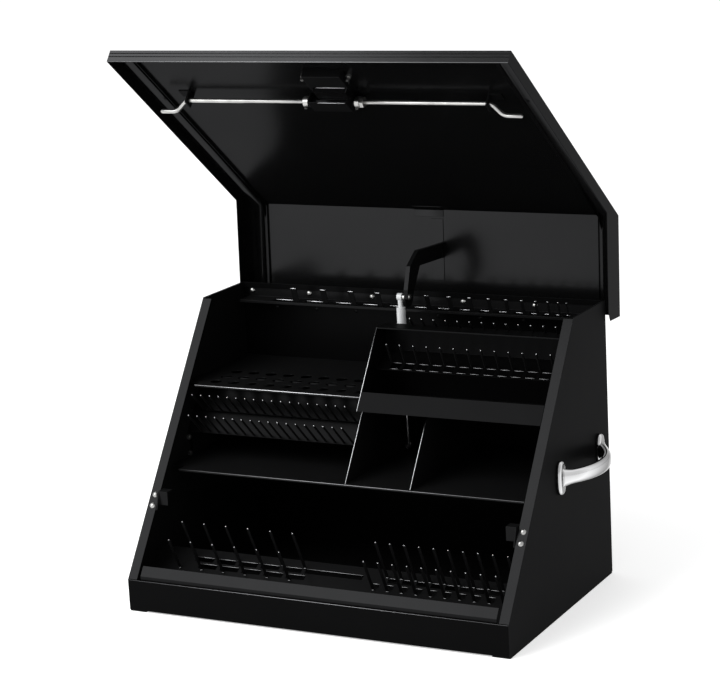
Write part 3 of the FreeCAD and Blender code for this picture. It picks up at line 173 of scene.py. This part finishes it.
# Painted reflection bands in the chrome's colour, as levels from face on to grazing
CHROME_PAINTED_REFLECTIONS = ((0.0, 0.34), (0.20, 0.72), (0.40, 0.36), (0.56, 0.14), (0.80, 0.58), (1.0, 0.30))


def powder_coat(name, level, rough, metallic):
    """Deep black semi-gloss coat: fine orange peel, with a slow drift of its gloss."""
    s = Shader(name)
    dark = [level * share for share in COAT_DARK]
    light = [level * share for share in COAT_LIGHT]
    colour = s.tint(s.noise(scale=9.0, detail=4.0), dark, light)
    roughness = s.spread(s.noise(scale=14.0, detail=5.0), rough - 0.012, rough + 0.018)
    fine = s.bump(s.noise(scale=1400.0), strength=0.16, height=0.00006)
    peel = s.bump(s.noise(scale=260.0, detail=1.0), strength=0.10, height=0.00015, before=fine)
    return s.surface(colour, roughness, peel, metallic=metallic, specular=0.0, edge=COAT_EDGE)


def plated_steel(name, dark, light, rough, stretch):
    """Zinc or nickel plate on drawn steel, with fine lines along the drawing."""
    s = Shader(name)
    lines = s.noise(scale=900.0, detail=3.0, stretch=stretch)
    colour = s.tint(s.noise(scale=40.0, detail=5.0), dark, light)
    roughness = s.spread(lines, rough - 0.06, rough + 0.08)
    normal = s.bump(lines, strength=0.12, height=0.00004)
    return s.surface(colour, roughness, normal, metallic=1.0)


def chrome(name):
    """Bright chrome with painted reflection bands in its colour that change with the viewing angle,
    faintly smudged.
    """
    s = Shader(name)
    smudge = s.noise(scale=55.0, detail=6.0)
    edge = s.add("ShaderNodeLayerWeight")
    edge.inputs["Blend"].default_value = 0.35
    colour = s.fade(edge.outputs["Facing"], CHROME_PAINTED_REFLECTIONS)
    roughness = s.spread(smudge, 0.05, 0.15)
    normal = s.bump(s.noise(scale=180.0), strength=0.05, height=0.0001)
    return s.surface(colour, roughness, normal, metallic=1.0)


def enamel(name, dark, light):
    """Smooth glossy paint."""
    s = Shader(name)
    colour = s.tint(s.noise(scale=30.0, detail=4.0), dark, light)
    roughness = s.spread(s.noise(scale=60.0, detail=4.0), 0.25, 0.36)
    normal = s.bump(s.noise(scale=700.0), strength=0.08, height=0.00005)
    return s.surface(colour, roughness, normal)


def foam_rubber(name):
    """Dull black foam with small cells."""
    s = Shader(name)
    cells = s.add("ShaderNodeTexVoronoi")
    cells.inputs["Scale"].default_value = 900.0
    s.link(s.place, cells.inputs["Vector"])
    colour = s.tint(s.noise(scale=120.0, detail=4.0), (0.0012,) * 3, (0.0030,) * 3)
    roughness = s.spread(s.noise(scale=200.0, detail=3.0), 0.78, 0.92)
    normal = s.bump(cells.outputs["Distance"], strength=0.4, height=0.0003)
    return s.surface(colour, roughness, normal, specular=0.0)


MATERIALS = {
    "black_powder_coat": powder_coat("black_powder_coat", level=0.0105, rough=0.32, metallic=0.58),
    # The lid's coat is glossier and its lighter level is painted sheen; the lip's coat is a darker
    # copy of the plain one, painted shade
    "lid_coat_painted_sheen": powder_coat("lid_coat_painted_sheen", level=0.019, rough=0.20, metallic=0.86),
    "lip_coat_painted_shade": powder_coat("lip_coat_painted_shade", level=0.0040, rough=0.34, metallic=0.60),
    # Light grey copies of the black coat for thin beads and dots on black edges and tips: painted
    # highlights, strong and soft
    "painted_bright_highlight": powder_coat("painted_bright_highlight", level=0.42, rough=0.26, metallic=1.0),
    "painted_soft_highlight": powder_coat("painted_soft_highlight", level=0.15, rough=0.30, metallic=1.0),
    "zinc_steel": plated_steel("zinc_steel", (0.28, 0.28, 0.275), (0.42, 0.42, 0.41), rough=0.30,
                               stretch=(0.05, 1, 1)),
    "handle_chrome": chrome("handle_chrome"),
    "strut_rod_chrome": plated_steel("strut_rod_chrome", (0.66, 0.66, 0.67), (0.78, 0.78, 0.79),
                                     rough=0.16, stretch=(1, 1, 0.1)),
    "strut_grey": enamel("strut_grey", (0.56, 0.57, 0.58), (0.64, 0.65, 0.66)),
    "seal_rubber": foam_rubber("seal_rubber"),
}


def paint(obj, slot):
    """Puts a material on the whole object."""
    for i in range(len(obj.material_slots)):
        obj.material_slots[i].material = MATERIALS[slot]
    if not obj.material_slots:
        obj.data.materials.append(MATERIALS[slot])


for part in frame["record"]["subparts"]:
    paint(frame["nodes"][part["node"]], part["material_slot"])
for name in LID_SHEEN_NODES:
    paint(frame["nodes"][name], "lid_coat_painted_sheen")
for name in LIP_SHADE_NODES:
    paint(frame["nodes"][name], "lip_coat_painted_shade")

for name in SHEET_NODES:
    node = frame["nodes"][name]
    weld = node.modifiers.new("weld", "WELD")
    weld.merge_threshold = WELD_DISTANCE
    flat = node.modifiers.new("flat faces", "DECIMATE")
    flat.decimate_type = "DISSOLVE"
    flat.angle_limit = FLAT_ANGLE
    bevel = node.modifiers.new("rounded edges", "BEVEL")
    bevel.width = SHEET_EDGE
    bevel.segments = 2
    bevel.limit_method = "ANGLE"
    bevel.angle_limit = SHARP_ANGLE
    bevel.use_clamp_overlap = False
    bevel.harden_normals = True


# The case in its side view, in the building frame
SLOPE_RUN = 0.330
SLOPE_RISE = 0.462
SLOPE_FOOT_Z = 0.060
SLOPE_ANGLE = math.atan2(SLOPE_RISE, SLOPE_RUN)
SLOPE_LENGTH = math.hypot(SLOPE_RISE, SLOPE_RUN)
CASE_DEPTH = 0.483
SIDE_X = 0.381
PANEL = 0.0012

# The lid: its skin above the case, its front edge up the slope, and how it opens
LID_RISE = 0.024
LID_FRONT_S = 0.002
LID_TOP_Z = SLOPE_FOOT_Z + SLOPE_RISE + LID_RISE
HINGE = (0.4906, 0.4971)
OPEN_ANGLE = math.radians(91.85)

RACK_ANGLE = math.radians(27.0)


def slope(s, n):
    """Place (y, z) at s up the case's slope and n above it."""
    return (s * math.cos(SLOPE_ANGLE) - n * math.sin(SLOPE_ANGLE),
            SLOPE_FOOT_Z + s * math.sin(SLOPE_ANGLE) + n * math.cos(SLOPE_ANGLE))


def on_depth(n, z):
    """Place (y, z) at height z and n above the slope."""
    s = (z - SLOPE_FOOT_Z - n * math.cos(SLOPE_ANGLE)) / math.sin(SLOPE_ANGLE)
    return (s * math.cos(SLOPE_ANGLE) - n * math.sin(SLOPE_ANGLE), z)


def on_rack(foot, along, above):
    """Place (y, z) on a rack that is tilted up to the rear from its foot."""
    return (foot[0] + along * math.cos(RACK_ANGLE) - above * math.sin(RACK_ANGLE),
            foot[1] + along * math.sin(RACK_ANGLE) + above * math.cos(RACK_ANGLE))


def opened(y, z):
    """Place of a point of the shut lid when the lid is open."""
    y, z = y - HINGE[0], z - HINGE[1]
    return (HINGE[0] + y * math.cos(OPEN_ANGLE) + z * math.sin(OPEN_ANGLE),
            HINGE[1] - y * math.sin(OPEN_ANGLE) + z * math.cos(OPEN_ANGLE))


def on_lid(s, e):
    """Place (y, z) on the open lid's slope panel, s from its front edge and e below its skin."""
    return opened(*slope(s - LID_FRONT_S, LID_RISE - e))


def place(x, yz):
    """A point of the building frame in the row frame."""
    return Vector((x, yz[0] - ORIGIN_Y, yz[1]))


def across(x_from, x_to, yz):
    """Ends of a line across the chest, at one place (y, z) of its side view."""
    return place(x_from, yz), place(x_to, yz)


def steps(start, pitch, count):
    """Evenly spaced places."""
    return [start + pitch * i for i in range(count)]


def rounded(points, cut, bits=6):
    """The line through points with its inner corners rounded."""
    line = [points[0]]
    for before, corner, after in zip(points, points[1:], points[2:]):
        start = corner + (before - corner).normalized() * cut
        end = corner + (after - corner).normalized() * cut
        for i in range(bits + 1):
            t = i / bits
            line.append(start * (1 - t) ** 2 + corner * 2 * t * (1 - t) + end * t ** 2)
    line.append(points[-1])
    return line


# How far a bar's ends are drawn in, as a share of its height, and how thin they get
END_INSET = 0.7
END_SHARE = 0.55
# Length of its level side direction under which a bar counts as upright
NEARLY_UPRIGHT = 0.1


def add_tube(bm, points, radius, sides=8):
    """A closed round or oval bar along points, with its ends drawn in."""
    wide, high = radius if isinstance(radius, tuple) else (radius, radius)
    ways = [(b - a).normalized() for a, b in zip(points, points[1:])]
    ways = [ways[0]] + [(a + b).normalized() for a, b in zip(ways, ways[1:])] + [ways[-1]]
    side = ways[0].cross(Vector((0, 0, 1)))
    if side.length < NEARLY_UPRIGHT:
        side = ways[0].cross(Vector((0, 1, 0)))
    side.normalize()
    inset = high * END_INSET
    stations = [(point, way, 1.0) for point, way in zip(points, ways)]
    stations[0] = (points[0] + ways[0] * inset, ways[0], 1.0)
    stations[-1] = (points[-1] - ways[-1] * inset, ways[-1], 1.0)
    stations.insert(0, (points[0], ways[0], END_SHARE))
    stations.append((points[-1], ways[-1], END_SHARE))
    rings = []
    for centre, way, share in stations:
        side = (side - way * side.dot(way)).normalized()
        rings.append(add_ring(bm, centre, side * wide * share, way.cross(side) * high * share,
                              count=sides))
    skin(bm, rings)


def add_ring(bm, centre, a, b, power=2.0, count=40):
    """A ring of vertices on an oval with semi-axes a and b, squarer as the power rises."""
    ring = []
    for i in range(count):
        turn = 2 * math.pi * i / count
        along_a, along_b = (math.copysign(abs(share) ** (2 / power), share)
                            for share in (math.cos(turn), math.sin(turn)))
        ring.append(bm.verts.new(centre + a * along_a + b * along_b))
    return ring


def skin(bm, rings):
    """One closed skin over rings of vertices, with flat ends."""
    for first, second in zip(rings, rings[1:]):
        for i in range(len(first)):
            j = (i + 1) % len(first)
            bm.faces.new((first[i], first[j], second[j], second[i]))
    bm.faces.new(rings[0][::-1])
    bm.faces.new(rings[-1])


def piece(name, bm, body, material):
    """Makes a smooth-shaded object of bm that rides on a body."""
    bmesh.ops.recalc_face_normals(bm, faces=bm.faces)
    mesh = bpy.data.meshes.new(name)
    bm.to_mesh(mesh)
    bm.free()
    for face in mesh.polygons:
        face.use_smooth = True
    obj = bpy.data.objects.new(name, mesh)
    bpy.context.scene.collection.objects.link(obj)
    mesh.materials.append(MATERIALS[material])
    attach(obj, body)
    return obj


def beads(name, lines, radius, body, material):
    """Thin round beads along straight lines, in one object."""
    bm = bmesh.new()
    for a, b in lines:
        add_tube(bm, [a, b], radius)
    return piece(name, bm, body, material)


def dots(name, centres, radius, body, material):
    """Small balls on tips, in one object."""
    bm = bmesh.new()
    for centre in centres:
        bmesh.ops.create_icosphere(bm, subdivisions=2, radius=radius,
                                   matrix=Matrix.Translation(centre))
    return piece(name, bm, body, material)


# Radii of the painted highlight lines on sheet edges and of the painted highlight dots on tips
FINE_LINE = 0.0007
TRAY_LINE = 0.0006
TOP_RACK_LINE = 0.0009
LIP_LINE = 0.0008
TIP = 0.0013
# How far below a shelf's top the middle of its front edge lies
EDGE_DROP = 0.0007
# How far a line stops short of its slot's end, or of the sheet that it runs up to
LINE_END = 0.001
# How far below a rack's plate the painted highlight line on a slot's rear edge lies
SLOT_DROP = 0.0003

# Shelves and dividers: heights, and how far their front edges lie below the slope's plane
SHELF_Z = 0.232
SHELF_N = -0.024
SHELF_END_X = 0.351
SOCKET_SHELF_Z = 0.376
SOCKET_SHELF_N = -0.00268
DIVIDER_N = -0.0243
BIN_DIVIDER_X = 0.130
# How far the dividers' painted highlight lines stop under the socket shelf and under the tray
UNDER_SHELF = 0.002
UNDER_TRAY = 0.003
LIP_END_X = 0.3795
LIP_TOP = (0.0010, 0.0596)

# Tray: its reach up the slope, its end's edge below it, the foot of its ledge, and its prongs
TRAY_TO = SLOPE_LENGTH - 0.0398
TRAY_FROM = TRAY_TO - 0.167
TRAY_END_N = -0.0002
TRAY_FOOT = slope(TRAY_TO - 0.0495, -0.0434)
TRAY_FIRST_X = 0.024
TRAY_PITCH = 0.027
TRAY_PRONGS = 13
TRAY_SLOT_HALF = 0.009
TRAY_SLOT_ROWS = (-0.002, -0.019)
TRAY_PRONG_TOP = (0.002, 0.0395)
# Upper prongs: their tips up the slope beyond the tray, above the slope, and up from there,
# and their first x, pitch and number
UPPER_PRONG_TIP = (0.024, -0.008, -0.0004)
UPPER_PRONGS = (0.059, 0.024, 13)

# Left prong rack: places up the slope and first x of its two rows of prongs
PRONG_ROWS = ((0.3717, -0.354), (0.330, -0.350))
PRONG_PITCH = 0.0191
PRONGS_PER_ROW = 18
PRONG_TIP_N = -0.0084


def shelf_painted_highlights():
    """Painted highlight lines along the front edges of the shelves, dividers, tray end and front
    lip.
    """
    def nose(n, z):
        return on_depth(n, z)[0], z - EDGE_DROP

    lines = [across(-SHELF_END_X, -LINE_END, nose(SOCKET_SHELF_N, SOCKET_SHELF_Z))]
    tops = ((0.0, SOCKET_SHELF_Z - UNDER_SHELF),
            (BIN_DIVIDER_X, slope(TRAY_FROM, 0)[1] - UNDER_TRAY))
    for x, top in tops:
        lines.append((place(x, on_depth(DIVIDER_N, SHELF_Z + LINE_END)),
                      place(x, on_depth(DIVIDER_N, top))))
    lines.append((place(PANEL, slope(TRAY_FROM + LINE_END, TRAY_END_N)),
                  place(PANEL, slope(TRAY_TO, TRAY_END_N))))
    beads("sheet_edge_painted_highlights", lines, FINE_LINE, "case", "painted_bright_highlight")
    beads("middle_shelf_painted_highlight", [across(-SHELF_END_X, SHELF_END_X, nose(SHELF_N, SHELF_Z))],
          FINE_LINE, "case", "painted_soft_highlight")
    beads("lip_top_painted_highlight", [across(-LIP_END_X, LIP_END_X, LIP_TOP)], LIP_LINE, "case", "painted_soft_highlight")


# Plier rack: its foot, the pitches and numbers of its fingers, and the two rows of them as
# (first x on the left, first x on the right, place along the rack, length)
RACK_FOOT = (0.088, 0.062)
LEFT_PITCH = 0.0463
RIGHT_PITCH = 0.0283
LEFT_FINGERS = 6
RIGHT_FINGERS = 10
FINGER_ROWS = ((-0.322, 0.080, 0.0, 0.071), (-0.304, 0.0946, 0.033, 0.088))
# How far inside a finger's end its painted highlight dot lies, and the painted highlight line at
# its foot as (place along the rack, height above it)
TIP_INSET = 0.0008
FINGER_FOOT = (-0.0006, 0.0005)
FINGER_FOOT_HALF = 0.0028
# Its slots as (first middle, pitch, number, width, place along the rack)
PLIER_SLOTS = (
    (-0.304 + LEFT_PITCH / 2, LEFT_PITCH, 5, 0.038, 0.0319),
    (-0.267, LEFT_PITCH, 5, 0.038, 0.0153),
    (0.0946 + RIGHT_PITCH / 2, RIGHT_PITCH, 9, 0.020, 0.0319),
    (0.080, RIGHT_PITCH, 9, 0.015, 0.0153),
    (-0.0105, RIGHT_PITCH, 1, 0.117, 0.0319),
)


def plier_rack_painted_highlights():
    """Painted highlight lines on the rear edges of the plier rack's slots and at its fingers' feet,
    and painted highlight dots on their tips.
    """
    lines = []
    for first, pitch, count, width, along in PLIER_SLOTS:
        half = width / 2 - LINE_END
        for x in steps(first, pitch, count):
            lines.append(across(x - half, x + half, on_rack(RACK_FOOT, along, -SLOT_DROP)))
    tips = []
    for first_left, first_right, along, length in FINGER_ROWS:
        for x in (steps(first_left, LEFT_PITCH, LEFT_FINGERS)
                  + steps(first_right, RIGHT_PITCH, RIGHT_FINGERS)):
            tips.append(place(x, on_rack(RACK_FOOT, along + TIP_INSET, length - TIP_INSET)))
            lines.append(across(x - FINGER_FOOT_HALF, x + FINGER_FOOT_HALF,
                                on_rack(RACK_FOOT, along + FINGER_FOOT[0], FINGER_FOOT[1])))
    beads("plier_rack_slot_painted_highlights", lines, FINE_LINE, "case", "painted_soft_highlight")
    dots("plier_rack_finger_tip_painted_highlights", tips, TIP, "case", "painted_bright_highlight")


def tray_painted_highlights():
    """Painted highlight lines on the slot edges of the tray's ledge, and painted highlight dots on
    the tips of all round prongs.
    """
    lines = []
    for x in steps(TRAY_FIRST_X + TRAY_PITCH / 2, TRAY_PITCH, TRAY_PRONGS - 1):
        for along in TRAY_SLOT_ROWS:
            lines.append(across(x - TRAY_SLOT_HALF, x + TRAY_SLOT_HALF,
                                on_rack(TRAY_FOOT, along, -SLOT_DROP)))
    beads("tray_slot_painted_highlights", lines, TRAY_LINE, "case", "painted_soft_highlight")
    tips = [place(x, on_rack(TRAY_FOOT, *TRAY_PRONG_TOP))
            for x in steps(TRAY_FIRST_X, TRAY_PITCH, TRAY_PRONGS)]
    beyond, n, drop = UPPER_PRONG_TIP
    y, z = slope(TRAY_TO + beyond, n)
    tips += [place(x, (y, z + drop)) for x in steps(*UPPER_PRONGS)]
    for s, first in PRONG_ROWS:
        tips += [place(x, slope(s, PRONG_TIP_N))
                 for x in steps(first, PRONG_PITCH, PRONGS_PER_ROW)]
    dots("prong_tip_painted_highlights", tips, TIP, "case", "painted_bright_highlight")


# Top rack on the back panel: its plate, and slots whose pitch shrinks to the right
TOP_RACK_Z = 0.495
TOP_RACK_FRONT = CASE_DEPTH - PANEL - 0.0418
TOP_SLOT_REAR = (TOP_RACK_FRONT + 0.021, TOP_RACK_Z - SLOT_DROP)
TOP_FINGER_TIP = (TOP_RACK_FRONT - 0.0044, TOP_RACK_Z + 0.0288)
TOP_FIRST_X = -0.275
TOP_FIRST_PITCH = 0.066
TOP_PITCH_LOSS = 0.00365
TOP_SLOTS = 15
TOP_SLOT_SHARE = 0.31
TOP_FINGER_SHARE = 0.1
TOP_FINGER_END = 0.0004


def top_rack_painted_highlights():
    """Painted highlight lines on the upper edges of the top rack's fingers and the rear edges of
    its slots.
    """
    lines = []
    x = TOP_FIRST_X
    for i in range(TOP_SLOTS):
        pitch = TOP_FIRST_PITCH - TOP_PITCH_LOSS * i
        half = pitch * TOP_SLOT_SHARE - LINE_END
        lines.append(across(x - half, x + half, TOP_SLOT_REAR))
        middle = x + pitch / 2
        half = pitch * TOP_FINGER_SHARE - TOP_FINGER_END
        lines.append(across(middle - half, middle + half, TOP_FINGER_TIP))
        x += pitch
    beads("top_rack_painted_highlights", lines, TOP_RACK_LINE, "case", "painted_bright_highlight")


# Lid: half width of its front flange, and its two ribs and the painted highlight line of its hem as
# depths below the skin
LID_END_X = 0.3872
LID_RIB_DEPTHS = (0.0062, 0.0125)
LID_RIB = 0.0009
LID_HEM = (0.0004, 0.0225)
LID_HEM_LINE = 0.0006
# Ribs of the edge stiffeners: place, depth below the skin, and half width and height
STIFFENER_X = 0.3670
STIFFENER_DEPTH = 0.0040
STIFFENER_RIB = (0.0100, 0.0034)
STIFFENER_FROM_S = 0.006
STIFFENER_TO_Y = 0.496


def lid_lines():
    """Ribs along the lid's front flange and edge stiffeners, and a painted highlight line along its
    hem.
    """
    beads("lid_front_ribs", [across(-LID_END_X, LID_END_X, on_lid(0.0, e)) for e in LID_RIB_DEPTHS],
          LID_RIB, "lid", "lid_coat_painted_sheen")
    beads("lid_front_hem_painted_highlight", [across(-LID_END_X, LID_END_X, on_lid(*LID_HEM))], LID_HEM_LINE,
          "lid", "painted_soft_highlight")
    top_z = LID_TOP_Z - STIFFENER_DEPTH
    route = (on_lid(STIFFENER_FROM_S, STIFFENER_DEPTH),
             opened(*on_depth(LID_RISE - STIFFENER_DEPTH, top_z)),
             opened(STIFFENER_TO_Y, top_z))
    bm = bmesh.new()
    for side in (-1, 1):
        add_tube(bm, [place(side * STIFFENER_X, yz) for yz in route], STIFFENER_RIB, 16)
    piece("stiffener_ribs", bm, "lid", "lid_coat_painted_sheen")


# Latch rods: places on the lid of their axis and of their cranked ends, and their bends' x
ROD_RADIUS = 0.004
ROD_AXIS = (0.147, 0.016)
ROD_END = (0.160, 0.032)
ROD_BENDS_X = (0.302, 0.323)
ROD_END_X = 0.3576
ROD_BEND_CUT = 0.010


def latch_rods():
    """Latch rods with smoothly bent cranks."""
    axis, end = on_lid(*ROD_AXIS), on_lid(*ROD_END)
    for side, name in ((-1, "left"), (1, "right")):
        points = [place(side * PANEL, axis), place(side * ROD_BENDS_X[0], axis),
                  place(side * ROD_BENDS_X[1], end), place(side * ROD_END_X, end)]
        bm = bmesh.new()
        add_tube(bm, rounded(points, ROD_BEND_CUT), ROD_RADIUS, 20)
        rod = piece(name + "_cranked_rod", bm, "latch_bar", "zinc_steel")
        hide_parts("latch_rod_" + name)


# Bow handles: places of the feet, and how far out the bar's middle line starts and comes
HANDLE_FEET = (0.240, 0.430)
HANDLE_Z = 0.253
HANDLE_START = SIDE_X + 0.003
HANDLE_OUT = 0.4252
# A foot's half width and half height, and its outline as (how far out, how far in)
FOOT_HALF = (0.0140, 0.0310)
FOOT_POWER = 2.6
FOOT_LAYERS = ((0.0, 0.0006), (0.0035, 0.0), (0.0060, 0.0006), (0.0077, 0.0020),
               (0.0086, 0.0040), (0.0086, 0.0056))
# The bar's half thickness and half height, what both gain at the feet, and over what length
BAR_HALF = (0.0085, 0.0128)
BAR_GAIN = (0.003, 0.006)
BAR_GAIN_LENGTH = 0.028
BAR_POWER = 2.4
BAR_STEPS = 48


def bow_handles():
    """Chromed bow handles: thick round-edged feet, and an oval bar that widens into them."""
    half = (HANDLE_FEET[1] - HANDLE_FEET[0]) / 2
    middle = (HANDLE_FEET[1] + HANDLE_FEET[0]) / 2
    rise = HANDLE_OUT - HANDLE_START
    radius = (half ** 2 + rise ** 2) / (2 * rise)
    reach = math.asin(half / radius)
    for side, name in ((-1, "left"), (1, "right")):
        bm = bmesh.new()
        for y in HANDLE_FEET:
            skin(bm, [add_ring(bm, place(side * (SIDE_X + out), (y, HANDLE_Z)),
                               Vector((0, FOOT_HALF[0] - inset, 0)),
                               Vector((0, 0, FOOT_HALF[1] - inset)), FOOT_POWER)
                      for out, inset in FOOT_LAYERS])
        rings = []
        for i in range(BAR_STEPS + 1):
            turn = reach * (2 * i / BAR_STEPS - 1)
            out = Vector((side * math.cos(turn), math.sin(turn), 0))
            centre = place(side * (HANDLE_OUT - radius), (middle, HANDLE_Z)) + out * radius
            flare = max(0.0, 1 - (reach - abs(turn)) * radius / BAR_GAIN_LENGTH) ** 2
            thick, high = (size + gain * flare for size, gain in zip(BAR_HALF, BAR_GAIN))
            rings.append(add_ring(bm, centre, out * thick, Vector((0, 0, high)), BAR_POWER))
        skin(bm, rings)
        handle = piece(name + "_bow_handle", bm, "case", "handle_chrome")
        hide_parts(name + "_handle")


# Lock cover: two opposite corners as (x, place from the lid's front edge, depth), its edges'
# rounding, and the painted highlight lines beside it as (from x, to x, place, depth)
COVER_CORNERS = ((-0.018, 0.098, 0.0016), (0.046, 0.1255, 0.0245))
COVER_ROUNDING = 0.0012
COVER_LINES = ((-0.013, 0.043, 0.0972, 0.0168), (-0.019, 0.034, 0.1262, 0.0303))
COVER_LINE = 0.0005
# Faces of the cover larger than this, in square metres, stay flat
FLAT_AREA = 0.0001


def lock_cover():
    """Raised cover over the lock's inner end, between the dish and the latch bracket, with painted
    highlight lines beside it.
    """
    bm = bmesh.new()
    bmesh.ops.create_cube(bm, size=1.0)
    for vert in bm.verts:
        x, s, e = [(a + b) / 2 + (b - a) * c for a, b, c in zip(*COVER_CORNERS, vert.co)]
        vert.co = place(x, on_lid(s, e))
    bmesh.ops.bevel(bm, geom=bm.edges[:], offset=COVER_ROUNDING, segments=3, profile=0.5,
                    affect="EDGES")
    cover = piece("lock_cover", bm, "lid", "lid_coat_painted_sheen")
    for face in cover.data.polygons:
        face.use_smooth = face.area < FLAT_AREA
    beads("latch_cover_painted_highlights", [across(x_from, x_to, on_lid(s, e))
                                for x_from, x_to, s, e in COVER_LINES],
          COVER_LINE, "lid", "painted_bright_highlight")


shelf_painted_highlights()
plier_rack_painted_highlights()
tray_painted_highlights()
top_rack_painted_highlights()
lid_lines()
latch_rods()
bow_handles()
lock_cover()


def axes(turns):
    """Right, down and forward directions of the camera from its turns about x, y and z."""
    angle = Vector(turns).length
    turn = Matrix.Rotation(angle, 3, Vector(turns))
    return turn @ Matrix(((1, 0, 0), (0, 0, -1), (0, 1, 0)))


def make_camera():
    """Camera at the photo's viewpoint."""
    right, down, forward = axes(CAMERA_TURNS)
    data = bpy.data.cameras.new("photo camera")
    data.sensor_fit = "HORIZONTAL"
    data.sensor_width = SENSOR_WIDTH
    data.lens = FOCAL_PX * SENSOR_WIDTH / IMAGE_WIDTH
    data.clip_end = 100.0
    camera = bpy.data.objects.new("photo camera", data)
    turn = Matrix((right, -down, -forward)).transposed().to_4x4()
    at = place(CAMERA_AT[0], CAMERA_AT[1:])
    camera.matrix_world = Matrix.Translation(at) @ turn
    bpy.context.scene.collection.objects.link(camera)
    bpy.context.scene.camera = camera


# Level of the surround for soft light, and the floor's own share of its white
WORLD_DIM = 0.75
FLOOR_GLOW = 0.45
FLOOR_COLOUR = (0.85, 0.85, 0.85, 1)
FLOOR_HALF = 40.0
WHITE = (1, 1, 1, 1)


def seen_white(tree):
    """1 for the rays that reach the camera directly, by gloss or through glass, else 0."""
    path = tree.nodes.new("ShaderNodeLightPath")
    seen = path.outputs["Is Camera Ray"]
    for ray in ("Is Glossy Ray", "Is Transmission Ray"):
        either = tree.nodes.new("ShaderNodeMath")
        either.operation = "MAXIMUM"
        tree.links.new(seen, either.inputs[0])
        tree.links.new(path.outputs[ray], either.inputs[1])
        seen = either.outputs[0]
    return seen


def make_floor():
    """Pale floor that shows as white to the camera and keeps the chest's shadow."""
    mesh = bpy.data.meshes.new("floor")
    corners = [(x * FLOOR_HALF, y * FLOOR_HALF, 0) for x, y in ((-1, -1), (1, -1), (1, 1), (-1, 1))]
    mesh.from_pydata(corners, [], [(0, 1, 2, 3)])
    floor = bpy.data.objects.new("floor", mesh)
    bpy.context.scene.collection.objects.link(floor)
    s = Shader("floor")
    matte = s.add("ShaderNodeBsdfDiffuse")
    matte.inputs["Color"].default_value = FLOOR_COLOUR
    glow = s.add("ShaderNodeEmission")
    glow.inputs["Color"].default_value = WHITE
    glow.inputs["Strength"].default_value = FLOOR_GLOW
    both = s.add("ShaderNodeAddShader")
    pick = s.add("ShaderNodeMixShader")
    s.link(matte.outputs["BSDF"], both.inputs[0])
    s.link(glow.outputs["Emission"], both.inputs[1])
    s.link(seen_white(s.tree), pick.inputs["Fac"])
    s.link(matte.outputs["BSDF"], pick.inputs[1])
    s.link(both.outputs["Shader"], pick.inputs[2])
    s.link(pick.outputs["Shader"], s.output.inputs["Surface"])
    mesh.materials.append(s.material)


def make_world():
    """Dim studio surround that shows white behind the chest."""
    world = bpy.data.worlds.new("studio")
    world.use_nodes = True
    tree = world.node_tree
    tree.nodes.clear()
    output = tree.nodes.new("ShaderNodeOutputWorld")
    pick = tree.nodes.new("ShaderNodeMixShader")
    tree.links.new(seen_white(tree), pick.inputs["Fac"])
    for socket, strength in ((1, WORLD_DIM), (2, 1.0)):
        background = tree.nodes.new("ShaderNodeBackground")
        background.inputs["Color"].default_value = WHITE
        background.inputs["Strength"].default_value = strength
        tree.links.new(background.outputs["Background"], pick.inputs[socket])
    tree.links.new(pick.outputs["Shader"], output.inputs["Surface"])
    bpy.context.scene.world = world


def area_light(name, at, target, size, power):
    """A soft rectangular lamp that faces its target."""
    data = bpy.data.lights.new(name, "AREA")
    data.shape = "RECTANGLE"
    data.size = size[0]
    data.size_y = size[1]
    data.energy = power
    lamp = bpy.data.objects.new(name, data)
    lamp.location = at
    lamp.rotation_euler = (Vector(target) - Vector(at)).to_track_quat("-Z", "Y").to_euler()
    bpy.context.scene.collection.objects.link(lamp)


make_camera()
make_floor()
make_world()
area_light("key light", at=(-1.4, -1.9, 2.4), target=(0, 0, 0.4), size=(2.4, 2.4), power=108)
area_light("low light", at=(-1.8, -3.0, 0.6), target=(0, 0, 0.5), size=(1.4, 0.8), power=3)

scene = bpy.context.scene
scene.view_settings.view_transform = "Standard"
